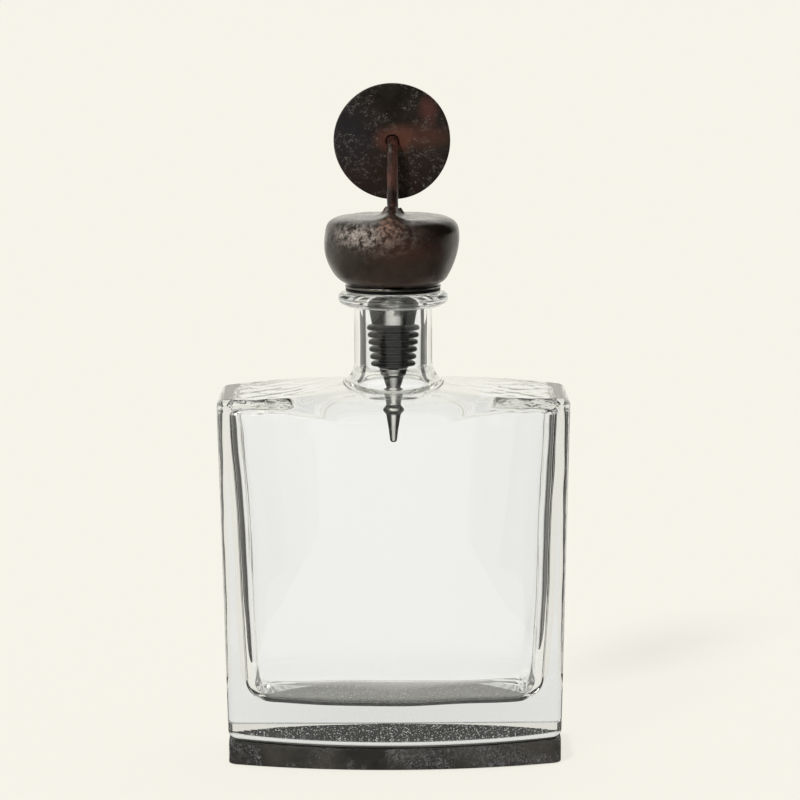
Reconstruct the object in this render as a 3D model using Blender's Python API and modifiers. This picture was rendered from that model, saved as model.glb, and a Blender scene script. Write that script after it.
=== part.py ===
"""A flat glass decanter on an iron plate, closed by a forged stopper on a ribbed steel plug.

The glass, the plate and what joins them stand still. The plug lifts out along +Z with the knob,
the bent rod and the disc on it, and turns about the same axis. The origin is the middle of the
underside, +Z is up and the broad front faces -Y. Sizes are in metres.
"""

import math

import bmesh
import bpy
import numpy as np

MM = 0.001

# Clearances
SEAT_GAP = 0.3 * MM
RIB_CLEARANCE = 0.5 * MM
CONE_CLEARANCE = 0.8 * MM
STUD_CLEARANCE = 0.3 * MM
ROD_CLEARANCE = 0.3 * MM

# Felt, iron plate and bond under the glass
FELT_THICKNESS = 1.0 * MM
FELT_INSET = 4.0 * MM
FELT_PROUD = 0.3 * MM
PLATE_THICKNESS = 8.9 * MM
PLATE_EDGE = 0.5 * MM
BOND_THICKNESS = 0.4 * MM
BOND_INSET = 2.2 * MM

# Glass body, outside
FOOT_HALF_WIDTH = 64.0 * MM
FOOT_HALF_DEPTH = 34.0 * MM
SHOULDER_HALF_WIDTH = 67.4 * MM
SHOULDER_HALF_DEPTH = 35.0 * MM
FACE_BULGE = 12.0 * MM
CORNER_RADIUS = 5.0 * MM
CORNER_LEAST = 2.0 * MM
FOOT_EDGE = 2.8 * MM
BODY_HEIGHT = 136.8 * MM
SHOULDER_DROP = 3.2 * MM
SHOULDER_SLOPE = 1.4
SHOULDER_EDGE = 2.6 * MM

# The dome of the shoulder: from front to back in the middle, fading to flat ends
DOME_RAISE = 2.4 * MM
DOME_REACH = 31.0 * MM
DOME_FALL = 14.0 * MM
DOME_HALF_WIDTH = 18.0 * MM
DOME_FADE = 32.0 * MM
DOME_SHOWN = 9.0 * MM

# Glass body, inside
FLOOR_THICKNESS = 13.3 * MM
CEILING_WALL = 4.5 * MM
SIDE_WALL_FOOT = 9.5 * MM
SIDE_WALL_SHOULDER = 5.8 * MM
FACE_WALL_FOOT = 6.0 * MM
FACE_WALL_SHOULDER = 4.6 * MM
CAVITY_CORNER = 8.0 * MM
FLOOR_EDGE = 8.0 * MM
CEILING_EDGE = 2.4 * MM
CEILING_REACH = 27.0 * MM
CEILING_FALL = 10.0 * MM

# Neck and lip
NECK_HEIGHT = 33.5 * MM
NECK_RADIUS = 15.0 * MM
NECK_FLARE = 8.0 * MM
NECK_FLARE_HEIGHT = 9.5 * MM
BORE_RADIUS = 10.6 * MM
BORE_FLARE = 6.0 * MM
BORE_FLARE_HEIGHT = 10.0 * MM
LIP_RADIUS = 21.1 * MM
LIP_THICKNESS = 4.9 * MM
LIP_MOUTH_EDGE = 1.4 * MM

# Seal ring, steel plug, ribbed sleeve and tip
SEAL_THICKNESS = 0.9 * MM
SEAL_RADIUS = 18.2 * MM
FLANGE_RADIUS = 18.4 * MM
FLANGE_THICKNESS = 1.0 * MM
CONE_LENGTH = 14.0 * MM
CONE_TAPER = 1.7 * MM
STEM_RADIUS = 4.0 * MM
RIB_COUNT = 6
RIB_PITCH = 2.83 * MM
RIB_THICKNESS = 1.7 * MM
RIB_DEPTH = 3.6 * MM
RIB_TAPER = 0.3 * MM
CORE_TAPER = 0.7 * MM
SPIGOT_RADIUS = 2.2 * MM
SPIGOT_LENGTH = 6.0 * MM
TIP_LENGTH = 28.2 * MM
TIP_COLLAR_LENGTH = 3.0 * MM
TIP_COLLAR_STEP = 0.4 * MM
TIP_WAIST_RADIUS = 2.8 * MM
TIP_BEAD_RADIUS = 4.1 * MM
TIP_BEAD_HEIGHT = 4.6 * MM
TIP_BEAD_DOWN = 15.2 * MM
TIP_END_RADIUS = 1.1 * MM

# Threaded stud between plug and knob
STUD_RADIUS = 4.0 * MM
STUD_THREAD_DEPTH = 0.5 * MM
STUD_PITCH = 1.6 * MM
STUD_DOWN = 10.0 * MM
STUD_UP = 12.0 * MM

# Knob, rod, weld and disc
KNOB_GAP = 0.5 * MM
KNOB_HEIGHT = 27.8 * MM
KNOB_RADIUS = 25.5 * MM
KNOB_FOOT_RADIUS = 16.6 * MM
KNOB_TOP_LAND = 7.0 * MM
KNOB_BELLY_SHARE = 0.64
KNOB_SQUARENESS = 0.74
ROD_RADIUS = 2.2 * MM
ROD_SOCKET = 8.0 * MM
ROD_HEIGHT = 26.1 * MM
ROD_BEND = 5.0 * MM
WELD_HEIGHT = 4.2 * MM
WELD_RADIUS = 6.2 * MM
WELD_LIP = 0.6 * MM
DISC_RADIUS = 22.6 * MM
DISC_THICKNESS = 2.4 * MM
DISC_EDGE = 0.5 * MM
DISC_SETBACK = 6.2 * MM
DISC_LEAN = math.radians(4)
BEAD_RADIUS = 4.4 * MM
BEAD_HEIGHT = 1.6 * MM

# Facets
END_STEPS = 2
CORNER_STEPS = 4
FACE_STEPS = 7
EDGE_STEPS = 4
SHOULDER_STEPS = 6
FLARE_STEPS = 5
TURN_STEPS = 40
SMALL_TURN_STEPS = 24

# Levels, from the surface it stands on upwards
PLATE_BOTTOM = FELT_PROUD
POCKET_TOP = FELT_THICKNESS + SEAT_GAP
PLATE_TOP = PLATE_BOTTOM + PLATE_THICKNESS
BOND_BOTTOM = PLATE_TOP + SEAT_GAP
GLASS_BOTTOM = BOND_BOTTOM + BOND_THICKNESS + SEAT_GAP
SHOULDER_TOP = GLASS_BOTTOM + BODY_HEIGHT
WALL_TOP = SHOULDER_TOP - DOME_RAISE - SHOULDER_EDGE
GLASS_TOP = SHOULDER_TOP + NECK_HEIGHT
FLOOR_LEVEL = GLASS_BOTTOM + FLOOR_THICKNESS
SEAL_BOTTOM = GLASS_TOP + SEAT_GAP
FLANGE_BOTTOM = SEAL_BOTTOM + SEAL_THICKNESS + SEAT_GAP
FLANGE_TOP = FLANGE_BOTTOM + FLANGE_THICKNESS
CONE_BOTTOM = FLANGE_BOTTOM - CONE_LENGTH
SLEEVE_TOP = CONE_BOTTOM - SEAT_GAP
SLEEVE_BOTTOM = SLEEVE_TOP - RIB_COUNT * RIB_PITCH
STEM_BOTTOM = SLEEVE_BOTTOM - SEAT_GAP
TIP_TOP = STEM_BOTTOM - SEAT_GAP
KNOB_BOTTOM = FLANGE_TOP + KNOB_GAP
KNOB_TOP = KNOB_BOTTOM + KNOB_HEIGHT
DISC_CENTRE = KNOB_TOP + ROD_HEIGHT
DISC_BACK = DISC_SETBACK + DISC_THICKNESS

# Radii that fit in or round one another
CONE_TOP_RADIUS = BORE_RADIUS - CONE_CLEARANCE
CONE_BOTTOM_RADIUS = CONE_TOP_RADIUS - CONE_TAPER
TOP_RIB_RADIUS = BORE_RADIUS - RIB_CLEARANCE
CORE_RADIUS = TOP_RIB_RADIUS - RIB_DEPTH
SLEEVE_BORE = STEM_RADIUS + SEAT_GAP
STUD_HOLE = STUD_RADIUS + STUD_CLEARANCE
ROD_HOLE = ROD_RADIUS + ROD_CLEARANCE
TIP_RADIUS = CORE_RADIUS - CORE_TAPER - TIP_COLLAR_STEP


def clear_scene():
    """Empties the file of what Blender starts with."""
    for obj in list(bpy.data.objects):
        bpy.data.objects.remove(obj, do_unlink=True)


def material(name, colour, roughness, metallic=0.0, transmission=0.0):
    """A Principled material of one colour."""
    made = bpy.data.materials.new(name)
    made.use_nodes = True
    shader = made.node_tree.nodes["Principled BSDF"]
    shader.inputs["Base Color"].default_value = (*colour, 1.0)
    shader.inputs["Roughness"].default_value = roughness
    shader.inputs["Metallic"].default_value = metallic
    shader.inputs["Transmission Weight"].default_value = transmission
    made.diffuse_color = (*colour, 1.0)
    return made


def arc(centre_r, centre_z, radius_r, radius_z, start, end, steps):
    """Points (r, z) of an elliptical arc from start to end, in degrees from +r towards +z."""
    angles = np.radians(np.linspace(start, end, steps + 1))
    return [(centre_r + radius_r * math.cos(a), centre_z + radius_z * math.sin(a)) for a in angles]


def add_object(name, mesh, shade, collection):
    """Puts a mesh in the scene as one named sub-part."""
    obj = bpy.data.objects.new(name, mesh)
    mesh.materials.append(shade)
    collection.objects.link(obj)
    return obj


def turned(name, profile, shade, collection, bored=False, steps=TURN_STEPS):
    """A turned solid. profile is (r, z), down its outer side, and closes on itself where bored."""
    count = len(profile)
    edges = [(i, i + 1) for i in range(count - 1)]
    if bored:
        edges.append((count - 1, 0))
    mesh = bpy.data.meshes.new(name)
    mesh.from_pydata([(r, 0.0, z) for r, z in profile], edges, [])
    obj = add_object(name, mesh, shade, collection)
    screw = obj.modifiers.new("turn", "SCREW")
    screw.axis = "Z"
    screw.angle = math.tau
    screw.steps = steps
    screw.render_steps = steps
    screw.use_merge_vertices = True
    screw.merge_threshold = 0.00001
    screw.use_smooth_shade = True
    return obj


def lofted(name, rows, shade, collection, ring=False):
    """A closed solid skinned over equal loops of points, shut at both ends or round on itself."""
    mesh = bpy.data.meshes.new(name)
    bm = bmesh.new()
    loops = [[bm.verts.new(p) for p in row] for row in rows]
    pairs = list(zip(loops[:-1], loops[1:]))
    if ring:
        pairs.append((loops[-1], loops[0]))
    for low, high in pairs:
        for i in range(len(low)):
            j = (i + 1) % len(low)
            bm.faces.new((low[i], low[j], high[j], high[i]))
    if not ring:
        bm.faces.new(list(reversed(loops[0])))
        bm.faces.new(loops[-1])
    bmesh.ops.recalc_face_normals(bm, faces=bm.faces)
    bm.to_mesh(mesh)
    bm.free()
    mesh.shade_smooth()
    mesh.set_sharp_from_angle(angle=math.radians(35))
    return add_object(name, mesh, shade, collection)


def plan_loop(half_width, half_depth, bulge, corner):
    """The flask's outline seen from above: bowed front and back, straight ends, round corners."""
    radius = (half_width**2 + bulge**2) / (2 * bulge)
    centre_y = half_depth - radius
    corner_x = half_width - corner
    corner_y = centre_y + math.sqrt((radius - corner) ** 2 - corner_x**2)
    turn = math.atan2(corner_y - centre_y, corner_x)
    ends = [(half_width, corner_y * i / END_STEPS) for i in range(END_STEPS)]
    turn = math.degrees(turn)
    corners = arc(corner_x, corner_y, corner, corner, 0, turn, CORNER_STEPS)
    face = arc(0.0, centre_y, radius, radius, turn, 90, FACE_STEPS)
    quarter = np.array(ends + corners[:-1] + face)
    left = quarter[:-1][::-1] * (-1, 1)
    lower = np.concatenate([quarter, left])[1:-1][::-1] * (1, -1)
    return np.concatenate([quarter, left, lower])


def foot_loop(inset):
    """The outline of the glass's foot, taken in by inset, for the glass and all that lies under it."""
    corner = max(CORNER_RADIUS - inset, CORNER_LEAST)
    return plan_loop(FOOT_HALF_WIDTH - inset, FOOT_HALF_DEPTH - inset, FACE_BULGE, corner)


def outer_loop(level, inset):
    """The glass's outer outline at a level, taken in by inset."""
    share = (level - GLASS_BOTTOM) / BODY_HEIGHT
    return plan_loop(
        FOOT_HALF_WIDTH + (SHOULDER_HALF_WIDTH - FOOT_HALF_WIDTH) * share - inset,
        FOOT_HALF_DEPTH + (SHOULDER_HALF_DEPTH - FOOT_HALF_DEPTH) * share - inset,
        FACE_BULGE,
        max(CORNER_RADIUS - inset, CORNER_LEAST),
    )


def inner_loop(level, inset):
    """The cavity's outline at a level, taken in by inset."""
    share = (level - GLASS_BOTTOM) / BODY_HEIGHT
    side = SIDE_WALL_FOOT + (SIDE_WALL_SHOULDER - SIDE_WALL_FOOT) * share
    face = FACE_WALL_FOOT + (FACE_WALL_SHOULDER - FACE_WALL_FOOT) * share
    return plan_loop(
        FOOT_HALF_WIDTH + (SHOULDER_HALF_WIDTH - FOOT_HALF_WIDTH) * share - side - inset,
        FOOT_HALF_DEPTH + (SHOULDER_HALF_DEPTH - FOOT_HALF_DEPTH) * share - face - inset,
        FACE_BULGE,
        max(CAVITY_CORNER - inset, CORNER_LEAST),
    )


def end_share(x):
    """0 over the domed middle of the shoulder, easing to 1 towards its flat ends."""
    share = np.clip((np.abs(x) - DOME_HALF_WIDTH) / DOME_FADE, 0, 1)
    return share * share * (3 - 2 * share)


def shoulder_fall(x):
    """How far the shoulder's crest lies below its top: it slopes down towards the ends, where the
    dome has faded too."""
    return SHOULDER_DROP * (np.abs(x) / SHOULDER_HALF_WIDTH) ** SHOULDER_SLOPE + DOME_RAISE * end_share(x)


def dome_fall(x, inset, reach, fall, edge):
    """How far the shoulder lies below its crest, at an inset from the wall: a quarter ellipse, as
    wide as its reach in the middle and only a rounded edge at the ends."""
    share = end_share(x)
    wide = reach + (edge - reach) * share
    tall = fall + (edge - fall) * share
    return tall * (1 - np.sqrt(1 - np.clip(1 - inset / wide, 0, 1) ** 2))


def outer_shoulder(x, inset):
    """The height of the shoulder's outside."""
    return SHOULDER_TOP - shoulder_fall(x) - dome_fall(x, inset, DOME_REACH, DOME_FALL, SHOULDER_EDGE)


def inner_shoulder(x, inset):
    """The height of the ceiling under the shoulder."""
    crest = SHOULDER_TOP - CEILING_WALL - shoulder_fall(x)
    return crest - dome_fall(x, inset, CEILING_REACH, CEILING_FALL, CEILING_EDGE)


def drawn_in(loop, inset):
    """The loop taken in along its own normals, by an inset for each point."""
    along = np.roll(loop, -1, axis=0) - np.roll(loop, 1, axis=0)
    inward = np.column_stack([-along[:, 1], along[:, 0]]) / np.linalg.norm(along, axis=1)[:, None]
    return loop + inward * inset[:, None]


def face_inset(loop, wall):
    """How far each point of a loop lies inside a wall's bowed faces or its ends."""
    half_width, half_depth = wall.max(axis=0)
    radius = (half_width**2 + FACE_BULGE**2) / (2 * FACE_BULGE)
    from_face = radius - np.hypot(loop[:, 0], np.abs(loop[:, 1]) - (half_depth - radius))
    return np.minimum(from_face, half_width - np.abs(loop[:, 0]))


def at_level(loop, level):
    """The loop as points in space; level is one height or one for each point."""
    heights = np.broadcast_to(level, len(loop))
    return np.column_stack([loop, heights])


def ring_loop(angles, radius):
    """A circle with a point at each of the flask outline's own bearings."""
    return np.column_stack([radius * np.cos(angles), radius * np.sin(angles)])


def glass_outside(angles):
    """Loops from the middle of the underside up the wall and over the shoulder to the lip."""
    rows = [at_level(foot_loop(FOOT_EDGE), GLASS_BOTTOM)]
    for inset, level in arc(FOOT_EDGE, GLASS_BOTTOM + FOOT_EDGE, -FOOT_EDGE, -FOOT_EDGE, 67.5, 0, 3):
        rows.append(at_level(outer_loop(level, inset), level))
    wall = outer_loop(WALL_TOP, 0.0)
    shown = DOME_SHOWN + (SHOULDER_EDGE - DOME_SHOWN) * end_share(wall[:, 0])
    for turn in np.radians(np.linspace(0, 90, SHOULDER_STEPS + 1)):
        inset = shown * (1 - math.cos(turn))
        edge = drawn_in(wall, inset)
        rows.append(at_level(edge, outer_shoulder(edge[:, 0], inset)))
    root = ring_loop(angles, NECK_RADIUS + NECK_FLARE)
    for share in (0.33, 0.67):
        loop = edge + (root - edge) * share
        rows.append(at_level(loop, outer_shoulder(loop[:, 0], face_inset(loop, wall))))
    flare_r = NECK_RADIUS + NECK_FLARE
    flare_z = SHOULDER_TOP + NECK_FLARE_HEIGHT
    flare = arc(flare_r, flare_z, NECK_FLARE, NECK_FLARE_HEIGHT, 270, 180, FLARE_STEPS)
    for step, (radius, level) in enumerate(flare):
        loop = ring_loop(angles, radius)
        below = SHOULDER_TOP - outer_shoulder(loop[:, 0], face_inset(loop, wall))
        rows.append(at_level(loop, level - below * (1 - (step / FLARE_STEPS) ** 2)))
    half_lip = LIP_THICKNESS / 2
    lip_centre = LIP_RADIUS - half_lip
    rows.append(at_level(ring_loop(angles, NECK_RADIUS), GLASS_TOP - LIP_THICKNESS - MM))
    rows.append(at_level(ring_loop(angles, NECK_RADIUS + MM), GLASS_TOP - LIP_THICKNESS))
    for radius, level in arc(lip_centre, GLASS_TOP - half_lip, half_lip, half_lip, -90, 90, 2 * EDGE_STEPS):
        rows.append(at_level(ring_loop(angles, radius), level))
    return rows


def glass_inside(angles):
    """Loops from the mouth down the bore, under the shoulder and down the cavity to its floor."""
    rows = []
    mouth = BORE_RADIUS + LIP_MOUTH_EDGE
    for radius, level in arc(mouth, GLASS_TOP - LIP_MOUTH_EDGE, LIP_MOUTH_EDGE, LIP_MOUTH_EDGE, 90, 180, 3):
        rows.append(at_level(ring_loop(angles, radius), level))
    ceiling = SHOULDER_TOP - CEILING_WALL
    wall = inner_loop(WALL_TOP - CEILING_WALL, 0.0)
    flare_r = BORE_RADIUS + BORE_FLARE
    flare_z = ceiling + BORE_FLARE_HEIGHT
    flare = arc(flare_r, flare_z, BORE_FLARE, BORE_FLARE_HEIGHT, 180, 270, FLARE_STEPS)
    for step, (radius, level) in enumerate(flare):
        loop = ring_loop(angles, radius)
        below = ceiling - inner_shoulder(loop[:, 0], face_inset(loop, wall))
        rows.append(at_level(loop, level - below * (1 - (1 - step / FLARE_STEPS) ** 2)))
    shown = DOME_SHOWN + (CEILING_EDGE - DOME_SHOWN) * end_share(wall[:, 0])
    edge = drawn_in(wall, shown)
    root = ring_loop(angles, BORE_RADIUS + BORE_FLARE)
    for share in (0.33, 0.67):
        loop = root + (edge - root) * share
        rows.append(at_level(loop, inner_shoulder(loop[:, 0], face_inset(loop, wall))))
    for turn in np.radians(np.linspace(90, 0, SHOULDER_STEPS + 1)):
        inset = shown * (1 - math.cos(turn))
        loop = drawn_in(wall, inset)
        rows.append(at_level(loop, inner_shoulder(loop[:, 0], inset)))
    for inset, level in arc(FLOOR_EDGE, FLOOR_LEVEL + FLOOR_EDGE, -FLOOR_EDGE, -FLOOR_EDGE, 0, 90, EDGE_STEPS):
        rows.append(at_level(inner_loop(level, inset), level))
    return rows


def make_glass(shade, collection):
    """The flask: one skin out over the lip and back down inside, open at the mouth."""
    reference = outer_loop(SHOULDER_TOP, 0.0)
    angles = np.arctan2(reference[:, 1], reference[:, 0])
    return lofted("glass_body", glass_outside(angles) + glass_inside(angles), shade, collection)


def make_sheet(name, loop, bottom, thickness, shade, collection):
    """A flat piece cut to an outline."""
    outline = bpy.data.curves.new(name, "CURVE")
    outline.dimensions = "2D"
    outline.fill_mode = "BOTH"
    outline.extrude = thickness / 2
    spline = outline.splines.new("POLY")
    spline.points.add(len(loop) - 1)
    for point, (x, y) in zip(spline.points, loop):
        point.co = (x, y, 0.0, 1.0)
    spline.use_cyclic_u = True
    outline.materials.append(shade)
    obj = bpy.data.objects.new(name, outline)
    obj.location.z = bottom + thickness / 2
    collection.objects.link(obj)
    return obj


def as_mesh(curve_obj):
    """The same piece as a closed mesh, in place of the curve."""
    name = curve_obj.name
    owner = curve_obj.users_collection[0]
    bpy.context.view_layer.update()
    mesh = bpy.data.meshes.new_from_object(curve_obj.evaluated_get(bpy.context.evaluated_depsgraph_get()))
    place = curve_obj.matrix_world.copy()
    bm = bmesh.new()
    bm.from_mesh(mesh)
    bmesh.ops.remove_doubles(bm, verts=bm.verts, dist=0.00001)
    bm.to_mesh(mesh)
    bm.free()
    bpy.data.objects.remove(curve_obj, do_unlink=True)
    obj = bpy.data.objects.new(name, mesh)
    obj.matrix_world = place
    owner.objects.link(obj)
    return obj


def make_plate(shade, collection, cutters):
    """The iron plate, its edges just broken, with a shallow pocket underneath for the felt."""
    plate = as_mesh(make_sheet("base_plate", foot_loop(0.0), PLATE_BOTTOM, PLATE_THICKNESS, shade, collection))
    bevel = plate.modifiers.new("edge", "BEVEL")
    bevel.width = PLATE_EDGE
    bevel.segments = 2
    bevel.limit_method = "ANGLE"
    bevel.angle_limit = math.radians(60)
    reach = PLATE_BOTTOM - MM
    outline = foot_loop(FELT_INSET - SEAT_GAP)
    pocket = as_mesh(make_sheet("felt_pocket", outline, reach, POCKET_TOP - reach, shade, cutters))
    pocket.hide_render = True
    pocket.display_type = "WIRE"
    cut = plate.modifiers.new("pocket", "BOOLEAN")
    cut.operation = "DIFFERENCE"
    cut.object = pocket
    return plate


def make_seal(shade, collection):
    """The flat rubber ring between the flange and the glass lip."""
    bore = BORE_RADIUS + LIP_MOUTH_EDGE
    top = SEAL_BOTTOM + SEAL_THICKNESS
    profile = [(bore, top), (SEAL_RADIUS, top), (SEAL_RADIUS, SEAL_BOTTOM), (bore, SEAL_BOTTOM)]
    return turned("lip_seal", profile, shade, collection, bored=True)


def make_plug(shade, collection):
    """The steel plug: flange, cone, stem through the sleeve, spigot for the tip, hole for the stud."""
    hole_bottom = FLANGE_TOP - STUD_DOWN - STUD_CLEARANCE
    edge = FLANGE_THICKNESS / 3
    profile = [
        (0.0, hole_bottom),
        (STUD_HOLE, hole_bottom),
        (STUD_HOLE, FLANGE_TOP),
        (FLANGE_RADIUS - edge, FLANGE_TOP),
        (FLANGE_RADIUS, FLANGE_TOP - edge),
        (FLANGE_RADIUS, FLANGE_BOTTOM + edge),
        (FLANGE_RADIUS - edge, FLANGE_BOTTOM),
        (CONE_TOP_RADIUS, FLANGE_BOTTOM),
        (CONE_TOP_RADIUS, FLANGE_BOTTOM - CONE_LENGTH / 3),
        (CONE_BOTTOM_RADIUS, CONE_BOTTOM),
        (STEM_RADIUS, CONE_BOTTOM),
        (STEM_RADIUS, STEM_BOTTOM),
        (SPIGOT_RADIUS, STEM_BOTTOM),
        (SPIGOT_RADIUS, STEM_BOTTOM - SPIGOT_LENGTH),
        (0.0, STEM_BOTTOM - SPIGOT_LENGTH),
    ]
    return turned("plug_body", profile, shade, collection)


def make_sleeve(shade, collection):
    """The soft sleeve: a tapering core with round-edged ribs that grow smaller downwards."""
    profile = [(SLEEVE_BORE, SLEEVE_TOP)]
    half = RIB_THICKNESS / 2
    for rib in range(RIB_COUNT):
        middle = SLEEVE_TOP - RIB_PITCH * rib - half
        core = CORE_RADIUS - CORE_TAPER * rib / (RIB_COUNT - 1)
        reach = TOP_RIB_RADIUS - RIB_TAPER * rib
        profile.append((core, middle + half))
        profile += arc(reach - half, middle, half, half, 75, -75, 4)
        profile.append((core, middle - half))
    profile += [(CORE_RADIUS - CORE_TAPER, SLEEVE_BOTTOM), (SLEEVE_BORE, SLEEVE_BOTTOM)]
    return turned("rib_sleeve", profile, shade, collection, bored=True, steps=32)


def make_tip(shade, collection):
    """The steel tip that screws on below the sleeve: collar, cone, pinched bead, blunt point."""
    hole = SPIGOT_RADIUS + SEAT_GAP
    hole_bottom = STEM_BOTTOM - SPIGOT_LENGTH - SEAT_GAP
    collar_bottom = TIP_TOP - TIP_COLLAR_LENGTH
    bead = TIP_TOP - TIP_BEAD_DOWN
    end = TIP_TOP - TIP_LENGTH
    profile = [
        (0.0, hole_bottom),
        (hole, hole_bottom),
        (hole, TIP_TOP),
        (TIP_RADIUS, TIP_TOP),
        (TIP_RADIUS - TIP_COLLAR_STEP, collar_bottom),
        (TIP_RADIUS - 2 * TIP_COLLAR_STEP, collar_bottom - TIP_COLLAR_STEP),
        (TIP_WAIST_RADIUS, bead + TIP_BEAD_HEIGHT / 2),
        (TIP_BEAD_RADIUS, bead + TIP_COLLAR_STEP),
        (TIP_BEAD_RADIUS, bead - TIP_COLLAR_STEP),
        (TIP_WAIST_RADIUS, bead - TIP_BEAD_HEIGHT / 2),
    ]
    profile += arc(0.0, end + TIP_END_RADIUS, TIP_END_RADIUS, TIP_END_RADIUS, 0, -90, 4)
    return turned("plug_tip", profile, shade, collection, steps=SMALL_TURN_STEPS)


def make_stud(shade, collection):
    """The threaded stud. Its radius falls and rises with height less turn, one pitch to a turn."""
    turns = 12
    per_pitch = 4
    angles = np.arange(turns) * math.tau / turns
    bottom = FLANGE_TOP - STUD_DOWN
    length = STUD_DOWN + STUD_UP
    count = round(length / STUD_PITCH * per_pitch)
    root = STUD_RADIUS - STUD_THREAD_DEPTH
    rows = []
    for i in range(count + 1):
        height = length * i / count
        wave = (height / STUD_PITCH - angles / math.tau) % 1.0
        crest = 1 - np.abs(2 * wave - 1)
        fade = min(1.0, height / STUD_PITCH, (length - height) / STUD_PITCH)
        radius = root + STUD_THREAD_DEPTH * crest * fade
        rows.append(at_level(np.column_stack([radius * np.cos(angles), radius * np.sin(angles)]), bottom + height))
    return lofted("threaded_stud", rows, shade, collection)


def make_knob(shade, collection):
    """The squat forged knob, drilled from below for the stud and from above for the rod."""
    belly = KNOB_BOTTOM + KNOB_BELLY_SHARE * KNOB_HEIGHT
    crown = KNOB_TOP - belly
    stud_hole_top = FLANGE_TOP + STUD_UP + STUD_CLEARANCE
    rod_hole_bottom = KNOB_TOP - ROD_SOCKET - ROD_CLEARANCE
    upper = [
        (
            KNOB_TOP_LAND + (KNOB_RADIUS - KNOB_TOP_LAND) * math.sin(a) ** KNOB_SQUARENESS,
            belly + crown * math.cos(a) ** KNOB_SQUARENESS,
        )
        for a in np.radians(np.linspace(0, 89.99, 8))
    ]
    lower = arc(KNOB_FOOT_RADIUS, belly, KNOB_RADIUS - KNOB_FOOT_RADIUS, belly - KNOB_BOTTOM, 0, -78, 7)[1:]
    profile = [(0.0, rod_hole_bottom), (ROD_HOLE, rod_hole_bottom), (ROD_HOLE, KNOB_TOP)]
    profile += upper + lower
    profile += [
        (KNOB_FOOT_RADIUS, KNOB_BOTTOM),
        (STUD_HOLE, KNOB_BOTTOM),
        (STUD_HOLE, stud_hole_top),
        (0.0, stud_hole_top),
    ]
    return turned("knob", profile, shade, collection)


def make_rod(shade, collection):
    """The round rod: up out of the knob, bent back, and through the disc to its rear face."""
    path = [(0.0, KNOB_TOP - ROD_SOCKET), (0.0, DISC_CENTRE - ROD_BEND)]
    bend = arc(ROD_BEND, DISC_CENTRE - ROD_BEND, ROD_BEND, ROD_BEND, 180, 90, 6)
    path += bend[1:]
    end = DISC_BACK - ROD_RADIUS * math.sin(DISC_LEAN)
    path.append((max(end, ROD_BEND + MM), DISC_CENTRE))
    curve = bpy.data.curves.new("rod", "CURVE")
    curve.dimensions = "3D"
    curve.bevel_depth = ROD_RADIUS
    curve.bevel_resolution = 4
    curve.use_fill_caps = True
    spline = curve.splines.new("POLY")
    spline.points.add(len(path) - 1)
    for point, (y, z) in zip(spline.points, path):
        point.co = (0.0, y, z, 1.0)
    spline.use_smooth = True
    curve.materials.append(shade)
    obj = bpy.data.objects.new("rod", curve)
    collection.objects.link(obj)
    return obj


def make_rod_weld(shade, collection):
    """The flared weld round the rod where it leaves the knob."""
    bottom = KNOB_TOP + SEAT_GAP
    top = bottom + WELD_HEIGHT
    hole = ROD_RADIUS + SEAT_GAP
    collar = hole + WELD_LIP
    profile = [(hole, top), (collar, top)]
    profile += arc(WELD_RADIUS, top, WELD_RADIUS - collar, WELD_HEIGHT - WELD_LIP, 180, 270, 5)[1:]
    profile += [(WELD_RADIUS, bottom), (hole, bottom)]
    return turned("rod_weld", profile, shade, collection, bored=True, steps=SMALL_TURN_STEPS)


def stand_on_edge(obj, depth):
    """Turns a piece modelled round +Z to face the front, leaning, at a depth behind the disc's face."""
    obj.rotation_euler = (math.pi / 2 + DISC_LEAN, 0.0, 0.0)
    back = DISC_SETBACK + depth * math.cos(DISC_LEAN)
    obj.location = (0.0, back, DISC_CENTRE + depth * math.sin(DISC_LEAN))


def make_disc(shade, collection):
    """The round plate behind the rod, with a hole that the rod goes through."""
    rim = DISC_RADIUS - DISC_EDGE
    low = DISC_EDGE - DISC_THICKNESS
    profile = [(ROD_HOLE, 0.0), (rim, 0.0), (DISC_RADIUS, -DISC_EDGE), (DISC_RADIUS, low)]
    profile += [(rim, -DISC_THICKNESS), (ROD_HOLE, -DISC_THICKNESS)]
    obj = turned("disc", profile, shade, collection, bored=True, steps=64)
    stand_on_edge(obj, 0.0)
    return obj


def make_bead(shade, collection):
    """The low weld dome on the back of the disc, over the end of the rod."""
    profile = arc(0.0, -SEAT_GAP, BEAD_RADIUS, BEAD_HEIGHT, 0, -90, 5)
    profile = [(0.0, -SEAT_GAP)] + profile
    obj = turned("disc_weld", profile, shade, collection, steps=SMALL_TURN_STEPS)
    stand_on_edge(obj, DISC_THICKNESS)
    return obj


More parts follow.
